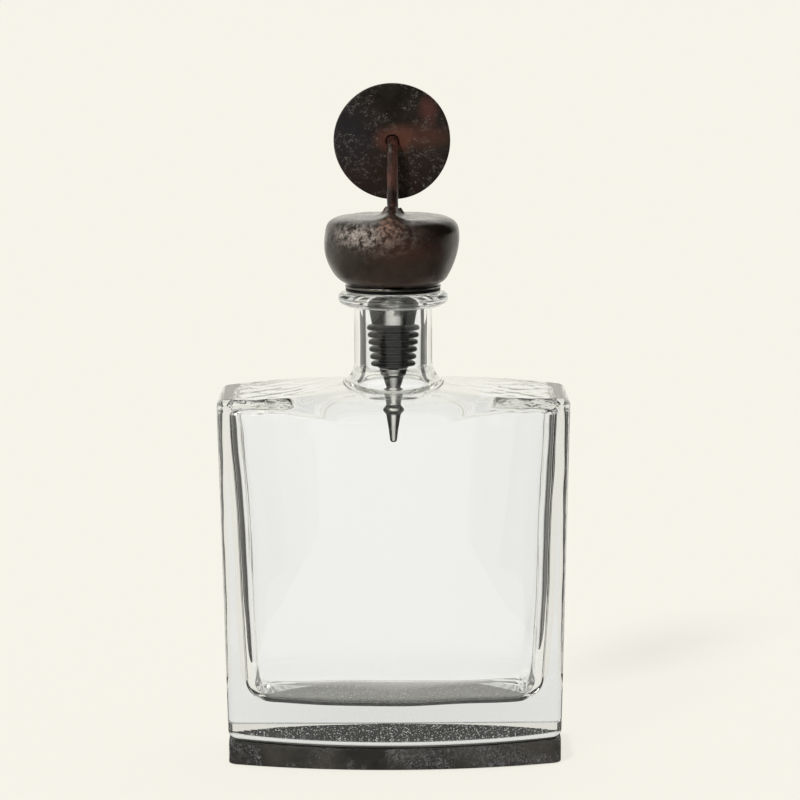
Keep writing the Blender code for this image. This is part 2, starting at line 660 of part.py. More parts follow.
def build():
    """Makes every sub-part at rest, with the plug seated in the neck."""
    clear_scene()
    parts = bpy.data.collections.new("decanter")
    cutters = bpy.data.collections.new("cutters")
    bpy.context.scene.collection.children.link(parts)
    bpy.context.scene.collection.children.link(cutters)
    glass = material("clear glass", (0.95, 0.97, 0.96), 0.0, transmission=1.0)
    iron = material("blackened iron", (0.045, 0.04, 0.035), 0.55, metallic=0.8)
    forged = material("forged steel", (0.09, 0.07, 0.06), 0.35, metallic=0.9)
    weld = material("weld", (0.16, 0.10, 0.08), 0.4, metallic=0.9)
    steel = material("stainless steel", (0.62, 0.61, 0.58), 0.2, metallic=1.0)
    rubber = material("black rubber", (0.02, 0.02, 0.02), 0.6)
    grit = material("gritted bond", (0.04, 0.04, 0.04), 0.7)
    felt = material("black felt", (0.015, 0.015, 0.015), 0.95)

    make_sheet("base_felt", foot_loop(FELT_INSET), 0.0, FELT_THICKNESS, felt, parts)
    make_plate(iron, parts, cutters)
    make_sheet("base_bond", foot_loop(BOND_INSET), BOND_BOTTOM, BOND_THICKNESS, grit, parts)
    make_glass(glass, parts)
    make_seal(rubber, parts)
    make_plug(steel, parts)
    make_sleeve(rubber, parts)
    make_tip(steel, parts)
    make_stud(steel, parts)
    make_knob(forged, parts)
    make_rod(forged, parts)
    make_rod_weld(weld, parts)
    make_disc(forged, parts)
    make_bead(weld, parts)


build()
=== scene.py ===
"""The looks of a flat glass decanter with a forged iron stopper.

The frame gives the pieces their places, in metres, +Z up and the broad bowed front towards -Y.
Every piece that shows is a surface worked out on a grid: rows run down or along it and columns
run round it. The flask is one skin, out over the lip and back down inside.
"""

import math

import bpy
import numpy as np
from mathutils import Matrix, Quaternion, Vector


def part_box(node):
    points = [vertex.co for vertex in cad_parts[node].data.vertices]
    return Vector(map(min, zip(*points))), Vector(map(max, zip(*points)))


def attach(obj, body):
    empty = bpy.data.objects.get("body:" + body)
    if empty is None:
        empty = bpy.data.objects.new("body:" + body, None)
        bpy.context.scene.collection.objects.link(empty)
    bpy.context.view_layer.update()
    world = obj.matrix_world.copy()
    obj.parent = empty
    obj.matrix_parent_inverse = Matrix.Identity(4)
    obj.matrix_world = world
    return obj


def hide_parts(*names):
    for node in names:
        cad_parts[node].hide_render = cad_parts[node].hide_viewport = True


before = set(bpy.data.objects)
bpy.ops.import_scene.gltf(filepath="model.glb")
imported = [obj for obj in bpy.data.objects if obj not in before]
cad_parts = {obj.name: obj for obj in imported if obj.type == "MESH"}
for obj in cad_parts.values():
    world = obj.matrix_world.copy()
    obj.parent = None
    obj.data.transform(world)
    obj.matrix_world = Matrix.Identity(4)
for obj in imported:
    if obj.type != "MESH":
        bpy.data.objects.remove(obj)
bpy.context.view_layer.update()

MM = 0.001

# The photograph's view: aim point, distance, pitch, roll and lens
AIM = Vector((2.5 * MM, 0.0, 138.2 * MM))
DISTANCE = 1.6
PITCH = math.radians(7.8)
ROLL = math.radians(-0.25)
LENS = 187.0
SENSOR = 36.0

# Levels and reaches that the frame gives
PLATE_LOW, PLATE_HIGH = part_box("base_plate")
GLASS_LOW, GLASS_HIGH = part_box("glass_body")
SEAL_LOW, SEAL_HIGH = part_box("lip_seal")
PLUG_LOW, PLUG_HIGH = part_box("plug_body")
SLEEVE_LOW, SLEEVE_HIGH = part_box("rib_sleeve")
TIP_LOW, TIP_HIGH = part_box("plug_tip")
KNOB_LOW, KNOB_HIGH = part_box("knob")
ROD_LOW, ROD_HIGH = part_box("rod")
DISC_LOW, DISC_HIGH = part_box("disc")

# Flask, outside
FOOT_HALF_WIDTH = PLATE_HIGH.x
FOOT_HALF_DEPTH = PLATE_HIGH.y
SHOULDER_HALF_WIDTH = 67.4 * MM
SHOULDER_HALF_DEPTH = 35.0 * MM
FACE_BULGE = 12.0 * MM
CORNER_RADIUS = 5.0 * MM
CORNER_LEAST = 2.0 * MM
FOOT_EDGE = 2.8 * MM
FOOT_EDGE_BACK = 0.8 * MM
FOOT_EDGE_CHANGE = 16.0 * MM
GLASS_BOTTOM = GLASS_LOW.z
GLASS_TOP = GLASS_HIGH.z
NECK_HEIGHT = 33.5 * MM
SHOULDER_TOP = GLASS_TOP - NECK_HEIGHT
BODY_HEIGHT = SHOULDER_TOP - GLASS_BOTTOM
SHOULDER_DROP = 3.2 * MM
SHOULDER_SLOPE = 1.4
SHOULDER_EDGE = 2.6 * MM
DOME_RAISE = 2.4 * MM
DOME_REACH = 31.0 * MM
DOME_FALL = 14.0 * MM
DOME_HALF_WIDTH = 12.0 * MM
DOME_FADE = 32.0 * MM
DOME_SHOWN = 9.0 * MM
WALL_TOP = SHOULDER_TOP - DOME_RAISE - SHOULDER_EDGE

# Flask, inside
FLOOR_LEVEL = GLASS_BOTTOM + 14.1 * MM
CEILING_WALL = 4.5 * MM
SIDE_WALL_FOOT = 9.5 * MM
SIDE_WALL_SHOULDER = 5.8 * MM
FACE_WALL_FOOT = 6.0 * MM
FACE_WALL_SHOULDER = 4.6 * MM
CAVITY_CORNER = 8.0 * MM
FLOOR_EDGE = 8.0 * MM
FLOOR_EDGE_FRONT = 3.4 * MM
FLOOR_EDGE_BACK = 0.8 * MM
FLOOR_EDGE_CHANGE = 20.0 * MM
FLOOR_CORNER_FROM = 0.84
FLOOR_CORNER_REACH = 0.14
FLOOR_BACK_LOW = 1.9 * MM
FLOOR_BACK_HIGH = 0.8 * MM
PUNT = 0.6 * MM
CEILING_EDGE = 2.4 * MM
CEILING_REACH = 27.0 * MM
CEILING_FALL = 10.0 * MM

# How much lower the underside of the glass and the top of the plate lie in the middle
SAG = 0.95 * MM

# Adhesive bed: how far into the glass it lies, the patch that it wets, the rim's fall, and the grit
BED_WET = 0.05 * MM
BED_HALF_WIDTH = 60.5 * MM
BED_HALF_DEPTH = 31.5 * MM
BED_RAGGED = 0.6 * MM
BED_FALL = 0.8 * MM
GRAINS = 3200
GRAIN = 0.37 * MM

# Neck and lip
NECK_RADIUS = 15.0 * MM
NECK_FLARE = 5.2 * MM
NECK_FLARE_HEIGHT = 6.6 * MM
BORE_RADIUS = 10.6 * MM
BORE_FLARE = 5.8 * MM
BORE_FLARE_HEIGHT = 10.0 * MM
LIP_RADIUS = 21.1 * MM
LIP_THICKNESS = 4.9 * MM
LIP_MOUTH_EDGE = 1.4 * MM
LIP_ROOT_EDGE = 1.6 * MM
LIP_UNDER_EDGE = 0.6 * MM

# Grid of the flask: points in each quarter of its outline
END_POINTS = 6
CORNER_POINTS = 12
FACE_POINTS = 40


def rng(seed):
    """The same random draws every run."""
    return np.random.default_rng(seed)


def ripple(points, wavelength, seed, waves=7):
    """A smooth unevenness from about -1 to 1: a sum of sines along random directions."""
    draw = rng(seed)
    total = np.zeros(points.shape[:-1])
    for _ in range(waves):
        direction = draw.normal(size=3)
        direction /= np.linalg.norm(direction)
        pace = 2 * math.pi / (wavelength * draw.uniform(0.7, 1.6))
        total += np.sin(points @ direction * pace + draw.uniform(0, 2 * math.pi))
    return total / math.sqrt(waves * 2)


def ramp(value, start, length):
    """0 up to a start, then straight up to 1 over a length. A negative length runs the other way."""
    return np.clip((value - start) / length, 0, 1)


def eased(share):
    """A share from 0 to 1 with level ends: 3 s^2 - 2 s^3."""
    return share * share * (3 - 2 * share)


def bell(value, middle, width):
    """1 at the middle, falling off on both sides: exp(-((v - middle) / width)^2)."""
    return np.exp(-(((value - middle) / width) ** 2))


def from_front(angle):
    """A bearing measured from the front, -Y, between -180 and 180 degrees."""
    return np.angle(np.exp(1j * (angle + math.pi / 2)))


def skin(name, grid, start_pole=False, end_pole=False, ring=False):
    """A mesh over a grid of rings, rows by columns by 3. Rows run down the outside, columns run
    anticlockwise from above. A pole closes an end with a fan, ring joins the last row to the first."""
    rows, columns = grid.shape[:2]
    points = grid.reshape(-1, 3)
    row = np.arange(rows if ring else rows - 1)[:, None]
    below = (row + 1) % rows
    column = np.arange(columns)[None, :]
    beside = (column + 1) % columns
    corners = [
        below * columns + column,
        below * columns + beside,
        row * columns + beside,
        row * columns + column,
    ]
    quads = np.stack(corners, -1).reshape(-1, 4)
    fans = [np.zeros((0, 3), int)]
    edge = np.arange(columns)
    following = (edge + 1) % columns
    if start_pole:
        fans.append(np.stack([np.full(columns, len(points)), edge, following], -1))
        points = np.vstack([points, grid[0].mean(0)])
    if end_pole:
        last = (rows - 1) * columns
        fans.append(np.stack([np.full(columns, len(points)), last + following, last + edge], -1))
        points = np.vstack([points, grid[-1].mean(0)])
    fans = np.concatenate(fans)
    mesh = bpy.data.meshes.new(name)
    mesh.vertices.add(len(points))
    mesh.vertices.foreach_set("co", points.astype(np.float32).ravel())
    loops = np.concatenate([quads.ravel(), fans.ravel()]).astype(np.int32)
    fan_starts = quads.size + np.arange(len(fans)) * 3
    starts = np.concatenate([np.arange(len(quads)) * 4, fan_starts])
    mesh.loops.add(len(loops))
    mesh.loops.foreach_set("vertex_index", loops)
    mesh.polygons.add(len(starts))
    mesh.polygons.foreach_set("loop_start", starts.astype(np.int32))
    mesh.update(calc_edges=True)
    mesh.validate()
    mesh.shade_smooth()
    return mesh


def piece(name, mesh, finish, body, slot, *nodes):
    """Puts a finished mesh in the scene, riding on a body and standing for the CAD nodes it names."""
    obj = bpy.data.objects.new(name, mesh)
    mesh.materials.append(finish)
    bpy.context.scene.collection.objects.link(obj)
    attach(obj, body)
    if nodes:
        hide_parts(*nodes)
    return obj


def softened(corners, steps=5):
    """A profile whose corners are rounded. A corner is (r, z) or (r, z, reach): reach is how far
    from the corner its curve begins, and the curve is a parabola between the two points."""
    points = []
    for index, corner in enumerate(corners):
        here = np.array(corner[:2], float)
        reach = corner[2] if len(corner) > 2 else 0.0
        if reach == 0.0:
            points.append(here)
            continue
        before = np.array(corners[index - 1][:2], float) - here
        after = np.array(corners[(index + 1) % len(corners)][:2], float) - here
        begin = here + before * reach / np.linalg.norm(before)
        finish = here + after * reach / np.linalg.norm(after)
        t = np.linspace(0, 1, steps)[:, None]
        points += list(begin * (1 - t) ** 2 + here * 2 * t * (1 - t) + finish * t**2)
    return np.array(points)


def circle(count):
    """The bearings of points evenly round a circle."""
    return np.arange(count) * 2 * math.pi / count


def solid_rows(x, y, z):
    """Joins x, y and z, each rows by columns or a column of heights, into one grid."""
    return np.stack([x, y, np.broadcast_to(z, x.shape)], -1)


def ring_rows(angles, radius, z):
    """Circles with their points at given bearings, from a column of radii and one of heights."""
    return solid_rows(radius * np.cos(angles), radius * np.sin(angles), z)


def swept(profile, around):
    """A profile of (r, z) points turned round Z: x = r cos a and y = r sin a, a round the circle."""
    return ring_rows(circle(around), profile[:, :1], profile[:, 1:])


def outline(half_width, half_depth, corner):
    """The bowed outline, rows by columns, as x and y. Each quarter is a straight end, a corner arc
    that turns until it meets the face, and a face arc of radius (w^2 + b^2) / 2b for a bulge b."""
    given = (half_width, half_depth, corner)
    w, d, c = (np.reshape(value, (-1, 1)).astype(float) for value in given)
    radius = (w**2 + FACE_BULGE**2) / (2 * FACE_BULGE)
    centre = d - radius
    corner_x = w - c
    corner_y = centre + np.sqrt((radius - c) ** 2 - corner_x**2)
    turn = np.arctan2(corner_y - centre, corner_x)
    end = np.linspace(0, 1, END_POINTS, endpoint=False)
    bend = turn * np.linspace(0, 1, CORNER_POINTS, endpoint=False)
    face = turn + (math.pi / 2 - turn) * np.linspace(0, 1, FACE_POINTS + 1)
    x = np.hstack([w + 0 * end, corner_x + c * np.cos(bend), radius * np.cos(face)])
    y = np.hstack([corner_y * end, corner_y + c * np.sin(bend), centre + radius * np.sin(face)])
    back_x, back_y = x[:, :0:-1], y[:, :0:-1]
    x, y = x[:, :-1], y[:, :-1]
    return np.hstack([x, -back_x, -x, back_x]), np.hstack([y, back_y, -y, -back_y])


def level_share(level):
    """How far up the body a level is, from 0 at the foot to 1 at the shoulder."""
    return (level - GLASS_BOTTOM) / BODY_HEIGHT


def between(first, last, share):
    """From a first value to a last one, by a share from 0 to 1."""
    return first + (last - first) * share


def outer_outline(level):
    """The flask's outside at some levels."""
    share = level_share(level)
    width = between(FOOT_HALF_WIDTH, SHOULDER_HALF_WIDTH, share)
    depth = between(FOOT_HALF_DEPTH, SHOULDER_HALF_DEPTH, share)
    return outline(width, depth, CORNER_RADIUS)


def inner_outline(level):
    """The cavity at some levels: the outside less the walls' thickness."""
    share = level_share(level)
    side = between(SIDE_WALL_FOOT, SIDE_WALL_SHOULDER, share)
    face = between(FACE_WALL_FOOT, FACE_WALL_SHOULDER, share)
    width = between(FOOT_HALF_WIDTH, SHOULDER_HALF_WIDTH, share) - side
    depth = between(FOOT_HALF_DEPTH, SHOULDER_HALF_DEPTH, share) - face
    return outline(width, depth, CAVITY_CORNER)


def end_share(x):
    """0 over the domed middle of the shoulder, easing to 1 towards its flat ends."""
    return eased(ramp(np.abs(x), DOME_HALF_WIDTH, DOME_FADE))


def shoulder_fall(x):
    """How far the shoulder's crest lies below its top: a power of the distance from the middle,
    and the dome's extra height where the dome has faded."""
    slope = SHOULDER_DROP * (np.abs(x) / SHOULDER_HALF_WIDTH) ** SHOULDER_SLOPE
    return slope + DOME_RAISE * end_share(x)


def dome_fall(x, inset, reach, fall, edge):
    """How far the shoulder lies below its crest, at an inset from the wall: a quarter ellipse from
    the wall to its reach. In the middle the ellipse is wide, at the ends it is a round edge."""
    share = end_share(x)
    wide = between(reach, edge, share)
    tall = between(fall, edge, share)
    return tall * (1 - np.sqrt(1 - np.clip(1 - inset / wide, 0, 1) ** 2))


def face_inset(x, y, half_width, half_depth):
    """How far a point lies inside the bowed faces, which are arcs of a circle, or the ends."""
    radius = (half_width**2 + FACE_BULGE**2) / (2 * FACE_BULGE)
    from_face = radius - np.hypot(x, np.abs(y) - (half_depth - radius))
    return np.minimum(from_face, half_width - np.abs(x))


def drawn_in(x, y, inset):
    """One outline taken in along its own normals by an inset for every point, as rows."""
    along_x = np.roll(x, -1) - np.roll(x, 1)
    along_y = np.roll(y, -1) - np.roll(y, 1)
    length = np.hypot(along_x, along_y)
    return x - inset * along_y / length, y + inset * along_x / length


def quarter(steps):
    """Sines and cosines of the angles from 0 to 90 degrees, as columns."""
    a = np.linspace(0, math.pi / 2, steps)[:, None]
    return np.sin(a), np.cos(a)


def outer_shoulder(x, inset):
    """The height of the shoulder's outside."""
    crest = SHOULDER_TOP - shoulder_fall(x)
    return crest - dome_fall(x, inset, DOME_REACH, DOME_FALL, SHOULDER_EDGE)


def inner_shoulder(x, inset):
    """The height of the ceiling under the shoulder."""
    crest = SHOULDER_TOP - CEILING_WALL - shoulder_fall(x)
    return crest - dome_fall(x, inset, CEILING_REACH, CEILING_FALL, CEILING_EDGE)


def flask_outside(bearings, even):
    """From the middle of the underside, round the foot, up the wall, over the shoulder and up the
    neck to the top of the lip. Edges are quarter circles, flares are quarter ellipses."""
    start = GLASS_BOTTOM + FOOT_EDGE
    x, y = outer_outline(start)
    behind = ramp(y, -FOOT_EDGE_CHANGE / 2, FOOT_EDGE_CHANGE)
    edge = between(FOOT_EDGE, FOOT_EDGE_BACK, behind)
    sine, cosine = quarter(10)
    foot_x, foot_y = drawn_in(x, y, edge * (1 - sine))
    scale = np.array([0.05, 0.35, 0.65, 0.9])[:, None]
    rows = [solid_rows(foot_x[:1] * scale, foot_y[:1] * scale, GLASS_BOTTOM)]
    rows.append(solid_rows(foot_x, foot_y, GLASS_BOTTOM + edge * (1 - cosine)))
    x, y = outer_outline(WALL_TOP)
    share = np.linspace(0, 1, 74)[1:-1, None]
    wall_x, wall_y = outer_outline(between(start, WALL_TOP, share))
    rows.append(solid_rows(wall_x, wall_y, between(start, outer_shoulder(x, 0.0), share)))
    _, cosine = quarter(26)
    inset = between(SHOULDER_EDGE, DOME_SHOWN, 1 - end_share(x)) * (1 - cosine)
    arc_x, arc_y = drawn_in(x, y, inset)
    rows.append(solid_rows(arc_x, arc_y, outer_shoulder(arc_x, inset)))
    width, depth = np.max(x), np.max(y)
    root = NECK_RADIUS + NECK_FLARE
    blend = np.linspace(0, 1, 20)[1:-1, None]
    x = between(arc_x[-1:], root * np.cos(bearings), blend)
    y = between(arc_y[-1:], root * np.sin(bearings), blend)
    rows.append(solid_rows(x, y, outer_shoulder(x, face_inset(x, y, width, depth))))
    sine, cosine = quarter(18)
    turn = np.linspace(0, 1, 18)[:, None]
    angles = between(bearings, even, turn)
    radius = NECK_RADIUS + NECK_FLARE * (1 - sine)
    x = radius * np.cos(angles)
    y = radius * np.sin(angles)
    below = SHOULDER_TOP - outer_shoulder(x, face_inset(x, y, width, depth))
    z = SHOULDER_TOP + NECK_FLARE_HEIGHT * (1 - cosine) - below * (1 - turn**2)
    rows.append(solid_rows(x, y, z))
    low = SHOULDER_TOP + NECK_FLARE_HEIGHT
    under = GLASS_TOP - LIP_THICKNESS
    half = LIP_THICKNESS / 2
    corners = [
        (NECK_RADIUS, low + 3 * MM),
        (NECK_RADIUS, low + 8 * MM),
        (NECK_RADIUS, under, LIP_ROOT_EDGE),
        (LIP_RADIUS - half, under, LIP_UNDER_EDGE),
    ]
    neck = softened(corners, 8)
    rows.append(ring_rows(even, neck[:, :1], neck[:, 1:]))
    bulge = np.linspace(-math.pi / 2, math.pi / 2, 20)[2:, None]
    radius = LIP_RADIUS - half + half * np.cos(bulge)
    rows.append(ring_rows(even, radius, GLASS_TOP - half + half * np.sin(bulge)))
    return rows


def flask_inside(bearings, even):
    """From the mouth down the bore, under the shoulder, down the cavity and in to the middle of its
    floor, which is tilted. The edge round the floor is tight behind, wider in front and widest at
    the corners."""
    sine, cosine = quarter(7)
    mouth = GLASS_TOP - LIP_MOUTH_EDGE * (1 - cosine)
    rows = [ring_rows(even, BORE_RADIUS + LIP_MOUTH_EDGE * (1 - sine), mouth)]
    ceiling = SHOULDER_TOP - CEILING_WALL
    level = np.linspace(GLASS_TOP - LIP_MOUTH_EDGE, ceiling + BORE_FLARE_HEIGHT, 8)[1:-1, None]
    rows.append(ring_rows(even, BORE_RADIUS + 0 * level, level))
    top = WALL_TOP - CEILING_WALL
    wall_x, wall_y = inner_outline(top)
    width, depth = np.max(wall_x), np.max(wall_y)
    sine, cosine = quarter(18)
    turn = np.linspace(1, 0, 18)[:, None]
    angles = between(bearings, even, turn)
    radius = BORE_RADIUS + BORE_FLARE * (1 - cosine)
    x = radius * np.cos(angles)
    y = radius * np.sin(angles)
    below = ceiling - inner_shoulder(x, face_inset(x, y, width, depth))
    z = ceiling + BORE_FLARE_HEIGHT * (1 - sine) - below * (1 - turn**2)
    rows.append(solid_rows(x, y, z))
    sine, _ = quarter(24)
    inset = between(CEILING_EDGE, DOME_SHOWN, 1 - end_share(wall_x)) * (1 - sine)
    arc_x, arc_y = drawn_in(wall_x, wall_y, inset)
    arc_z = inner_shoulder(arc_x, inset)
    root = BORE_RADIUS + BORE_FLARE
    blend = np.linspace(0, 1, 18)[1:-1, None]
    x = root * np.cos(bearings) * (1 - blend) + arc_x[:1] * blend
    y = root * np.sin(bearings) * (1 - blend) + arc_y[:1] * blend
    rows.append(solid_rows(x, y, inner_shoulder(x, face_inset(x, y, width, depth))))
    rows.append(solid_rows(arc_x, arc_y, arc_z))
    foot = FLOOR_LEVEL + FLOOR_EDGE
    share = np.linspace(0, 1, 80)[1:-1, None]
    x, y = inner_outline(between(top, foot, share))
    last_x, last_y = x[-1:], y[-1:]
    behind = ramp(last_y, -FLOOR_EDGE_CHANGE / 2, FLOOR_EDGE_CHANGE)
    along = between(FLOOR_EDGE_FRONT, FLOOR_EDGE_BACK, behind)
    corner = ramp(np.abs(last_x) / np.max(last_x), FLOOR_CORNER_FROM, FLOOR_CORNER_REACH)
    edge = between(along, FLOOR_EDGE, eased(corner))
    tilt = floor_tilt(last_x, last_y)
    low = FLOOR_LEVEL + tilt + edge
    rows.append(solid_rows(x, y, between(arc_z[-1:], low, share)))
    sine, cosine = quarter(16)
    x, y = inner_outline(foot)
    x, y = drawn_in(x, y, edge * (1 - cosine))
    rows.append(solid_rows(x, y, low - edge * sine))
    scale = np.linspace(1, 0, 40)[1:-1, None]
    level = FLOOR_LEVEL + PUNT * (1 - scale**2) + tilt * scale**2
    rows.append(solid_rows(x[-1:] * scale, y[-1:] * scale, level))
    return rows


def floor_tilt(x, y):
    """How far the floor's rim leaves its level: at the back lower in the middle and higher towards
    the ends, as a square of x, and nothing in front."""
    rise = (FLOOR_BACK_HIGH + FLOOR_BACK_LOW) * (x / np.max(x)) ** 2 - FLOOR_BACK_LOW
    return rise * eased(ramp(y, -np.max(y) / 2, np.max(y)))


def uneven_cavity(grid):
    """Hand-blown waviness inside: the end walls wander sideways, the floor and the shoulder's ends
    up and down, the broad faces a little in and out, and the bore swells and narrows a trace."""
    x, z = grid[..., 0], grid[..., 2]
    depth = ramp(z, SHOULDER_TOP - 4 * MM, -12 * MM)
    ends = ramp(np.abs(x), 0, SHOULDER_HALF_WIDTH) ** 3
    low = ramp(z, FLOOR_LEVEL + 14 * MM, -14 * MM)
    side = np.sign(x)[..., None]
    shift = np.zeros_like(grid)
    shift[..., 0] = 0.6 * MM * ends * depth * ripple(grid * (0.3, 0.4, 1.0) + side, 44 * MM, 11)
    shift[..., 0] += 0.16 * MM * ends * depth * ripple(grid * (1.0, 1.6, 0.6) + side, 13 * MM, 14)
    shift[..., 1] = 0.10 * MM * depth * ripple(grid * (1.0, 3.0, 0.8), 60 * MM, 12)
    shift[..., 2] = 0.5 * MM * low * ripple(grid * (1.0, 1.0, 0.2), 46 * MM, 13)
    high = ramp(z, WALL_TOP - 14 * MM, 8 * MM) * ramp(np.abs(x), 24 * MM, 16 * MM)
    shift[..., 2] += 0.30 * MM * high * ripple(grid * (1.0, 1.4, 0.3), 9 * MM, 15)
    shift[..., 1] += 0.40 * MM * high * ripple(grid * (1.2, 0.5, 0.8), 9 * MM, 16)
    neck = ramp(z, SHOULDER_TOP, 6 * MM) * ramp(z, GLASS_TOP - 2 * MM, -4 * MM)
    swell = 0.009 * neck * ripple(grid * (1.0, 1.0, 1.6), 15 * MM, 17)
    return grid + shift + grid * (1, 1, 0) * swell[..., None]


def sagged(grid, full, none):
    """Lowers what lies near the joint of glass and plate by a parabola of x: wholly at one height,
    and not at all from another height on."""
    share = ramp(grid[..., 2], none, full - none)
    lowered = SAG * share * (1 - ramp(np.abs(grid[..., 0]), 0, FOOT_HALF_WIDTH) ** 2)
    return grid - lowered[..., None] * (0, 0, 1)


def flask_mesh():
    """The flask, one closed skin: bottom, wall, shoulder, neck and lip, then bore and cavity."""
    x, y = outer_outline(SHOULDER_TOP)
    bearings = np.unwrap(np.arctan2(y[0], x[0]))
    even = circle(len(bearings))
    outside = np.concatenate(flask_outside(bearings, even))
    outside = sagged(outside, GLASS_BOTTOM + FOOT_EDGE, FLOOR_LEVEL)
    inside = uneven_cavity(np.concatenate(flask_inside(bearings, even)))
    grid = np.concatenate([inside[::-1], outside[::-1]])
    return skin("clear_flask", grid, start_pole=True, end_pole=True)


# Surfaces of the plate, the bed and the rubber


def stacked_outline(insets, levels):
    """The foot's outline at some insets and heights, top first."""
    insets = np.array(insets, float)
    corner = np.maximum(CORNER_RADIUS - insets, CORNER_LEAST)
    x, y = outline(FOOT_HALF_WIDTH - insets, FOOT_HALF_DEPTH - insets, corner)
    return solid_rows(x, y, np.array(levels, float)[:, None])


def plate_mesh():
    """The iron plate: flat top, a sawn edge that wavers a little and is just broken above and below,
    and the felt's pocket underneath."""
    top = PLATE_HIGH.z
    bottom = PLATE_LOW.z
    edge = 0.5 * MM
    pocket = 3.7 * MM
    ceiling = 1.3 * MM
    t = np.linspace(0, math.pi / 2, 5)
    wall = np.linspace(top - edge, bottom + edge, 14)[1:-1]
    fall = edge * (1 - np.cos(t))
    draw = edge * (1 - np.sin(t))
    insets = [20 * MM, 9 * MM, 3 * MM, *draw, *(0 * wall), *fall, pocket, pocket, 9 * MM, 20 * MM]
    levels = [top, top, top, *(top - fall), *wall, *(bottom + draw), bottom, *[ceiling] * 3]
    grid = stacked_outline(insets, levels)
    out = grid * (1, 1, 0)
    out /= np.linalg.norm(out, axis=-1, keepdims=True)
    worn = 0.08 * MM * (ripple(grid, 17 * MM, 21) - 1) + 0.04 * MM * (ripple(grid, 4 * MM, 22) - 1)
    side = np.abs(grid[..., 2] - (top + bottom) / 2) < (top - bottom) / 2 - 0.01 * MM
    grid = grid + out * (worn * side)[..., None]
    grid = sagged(grid, top - edge, top - 5 * MM)
    return skin("iron_plate", grid, start_pole=True, end_pole=True)


def bed_mesh():
    """The adhesive bed. It wets the glass over a lens-shaped patch, where its top lies a hair inside
    the flask: half as deep as a parabola of x says. Past that patch it falls away from the glass."""
    low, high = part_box("base_bond")
    inset = FOOT_HALF_WIDTH - high.x
    x, y = outline(FOOT_HALF_WIDTH - inset, FOOT_HALF_DEPTH - inset, CORNER_RADIUS - inset)
    scale = np.linspace(0.02, 1, 90)[:, None]
    x = x * scale
    y = y * scale
    ragged = BED_RAGGED * ripple(solid_rows(x, y, 0.0), 7 * MM, 81)
    out = ramp(np.abs(y) + ragged, bed_depth(x), BED_FALL)
    top = GLASS_BOTTOM + BED_WET - (GLASS_BOTTOM + BED_WET - high.z) * out
    rim = solid_rows(x[-1:], y[-1:], low.z)
    inner = solid_rows(x[-1:] * 0.3, y[-1:] * 0.3, low.z)
    grid = np.concatenate([solid_rows(x, y, top), rim, inner])
    return skin("grit_bed", sagged(grid, low.z, 0.0), start_pole=True, end_pole=True)


def bed_depth(x):
    """Half the depth of the patch that the bed wets, a parabola of x."""
    return BED_HALF_DEPTH * (1 - (x / BED_HALF_WIDTH) ** 2)


def grit_mesh():
    """The grit: small octahedra, squashed and turned at random, half sunk in the bed's top."""
    draw = rng(82)
    x = draw.uniform(-BED_HALF_WIDTH, BED_HALF_WIDTH, 4 * GRAINS)
    y = draw.uniform(-BED_HALF_DEPTH, BED_HALF_DEPTH, 4 * GRAINS)
    inside = np.abs(y) < bed_depth(x) - BED_FALL
    centre = np.stack([x, y, np.full_like(x, GLASS_BOTTOM + BED_WET)], -1)[inside][:GRAINS]
    size = GRAIN * draw.uniform(0.3, 1.0, (len(centre), 1)) ** 2.2
    turn, _ = np.linalg.qr(draw.normal(size=(len(centre), 3, 3)))
    tips = np.concatenate([np.eye(3), -np.eye(3)])
    centre = sagged(centre, GLASS_BOTTOM, 0.0)
    points = centre[:, None] + size[..., None] * np.einsum("nij,kj->nki", turn, tips)
    faces = [(0, 1, 2), (1, 3, 2), (3, 4, 2), (4, 0, 2), (1, 0, 5), (3, 1, 5), (4, 3, 5), (0, 4, 5)]
    faces = np.array(faces)
    flipped = np.linalg.det(turn) < 0
    faces = np.where(flipped[:, None, None], faces[None, :, ::-1], faces[None])
    faces = faces + 6 * np.arange(len(centre))[:, None, None]
    mesh = bpy.data.meshes.new("bed_grit")
    mesh.from_pydata(points.reshape(-1, 3).tolist(), [], faces.reshape(-1, 3).tolist())
    mesh.update()
    return mesh


def seal_mesh():
    """The flat ring, its edges rounded as moulded rubber."""
    bore = BORE_RADIUS + LIP_MOUTH_EDGE
    high, low, out = SEAL_HIGH.z, SEAL_LOW.z, SEAL_HIGH.x
    soft = 0.28 * MM
    corners = [(bore, high, soft), (out, high, soft), (out, low, soft), (bore, low, soft)]
    return skin("seal_ring", swept(softened(corners), 160), ring=True)


def sleeve_mesh():
    """The sleeve: a tapering core with six round-edged ribs that shrink downwards."""
    ribs = 6
    pitch = (SLEEVE_HIGH.z - SLEEVE_LOW.z) / ribs
    half = 0.85 * MM
    groove = 3.6 * MM
    core_taper = 0.7 * MM
    rib_taper = 0.3 * MM
    reach = SLEEVE_HIGH.x
    bore = 4.3 * MM
    profile = [(bore, SLEEVE_HIGH.z)]
    for rib in range(ribs):
        middle = SLEEVE_HIGH.z - pitch * rib - half
        core = reach - groove - core_taper * rib / (ribs - 1)
        tip = reach - rib_taper * rib - half
        turn = np.linspace(math.pi / 2, -math.pi / 2, 13)
        profile += [(core, middle + half)]
        profile += list(zip(tip + half * np.cos(turn), middle + half * np.sin(turn)))
        profile += [(core + 0.4 * MM, middle - half), (core, middle - half - 0.35 * MM)]
    profile += [(core, SLEEVE_LOW.z), (bore, SLEEVE_LOW.z)]
    return skin("ribbed_sleeve", swept(np.array(profile), 128), ring=True)


# Turned steel


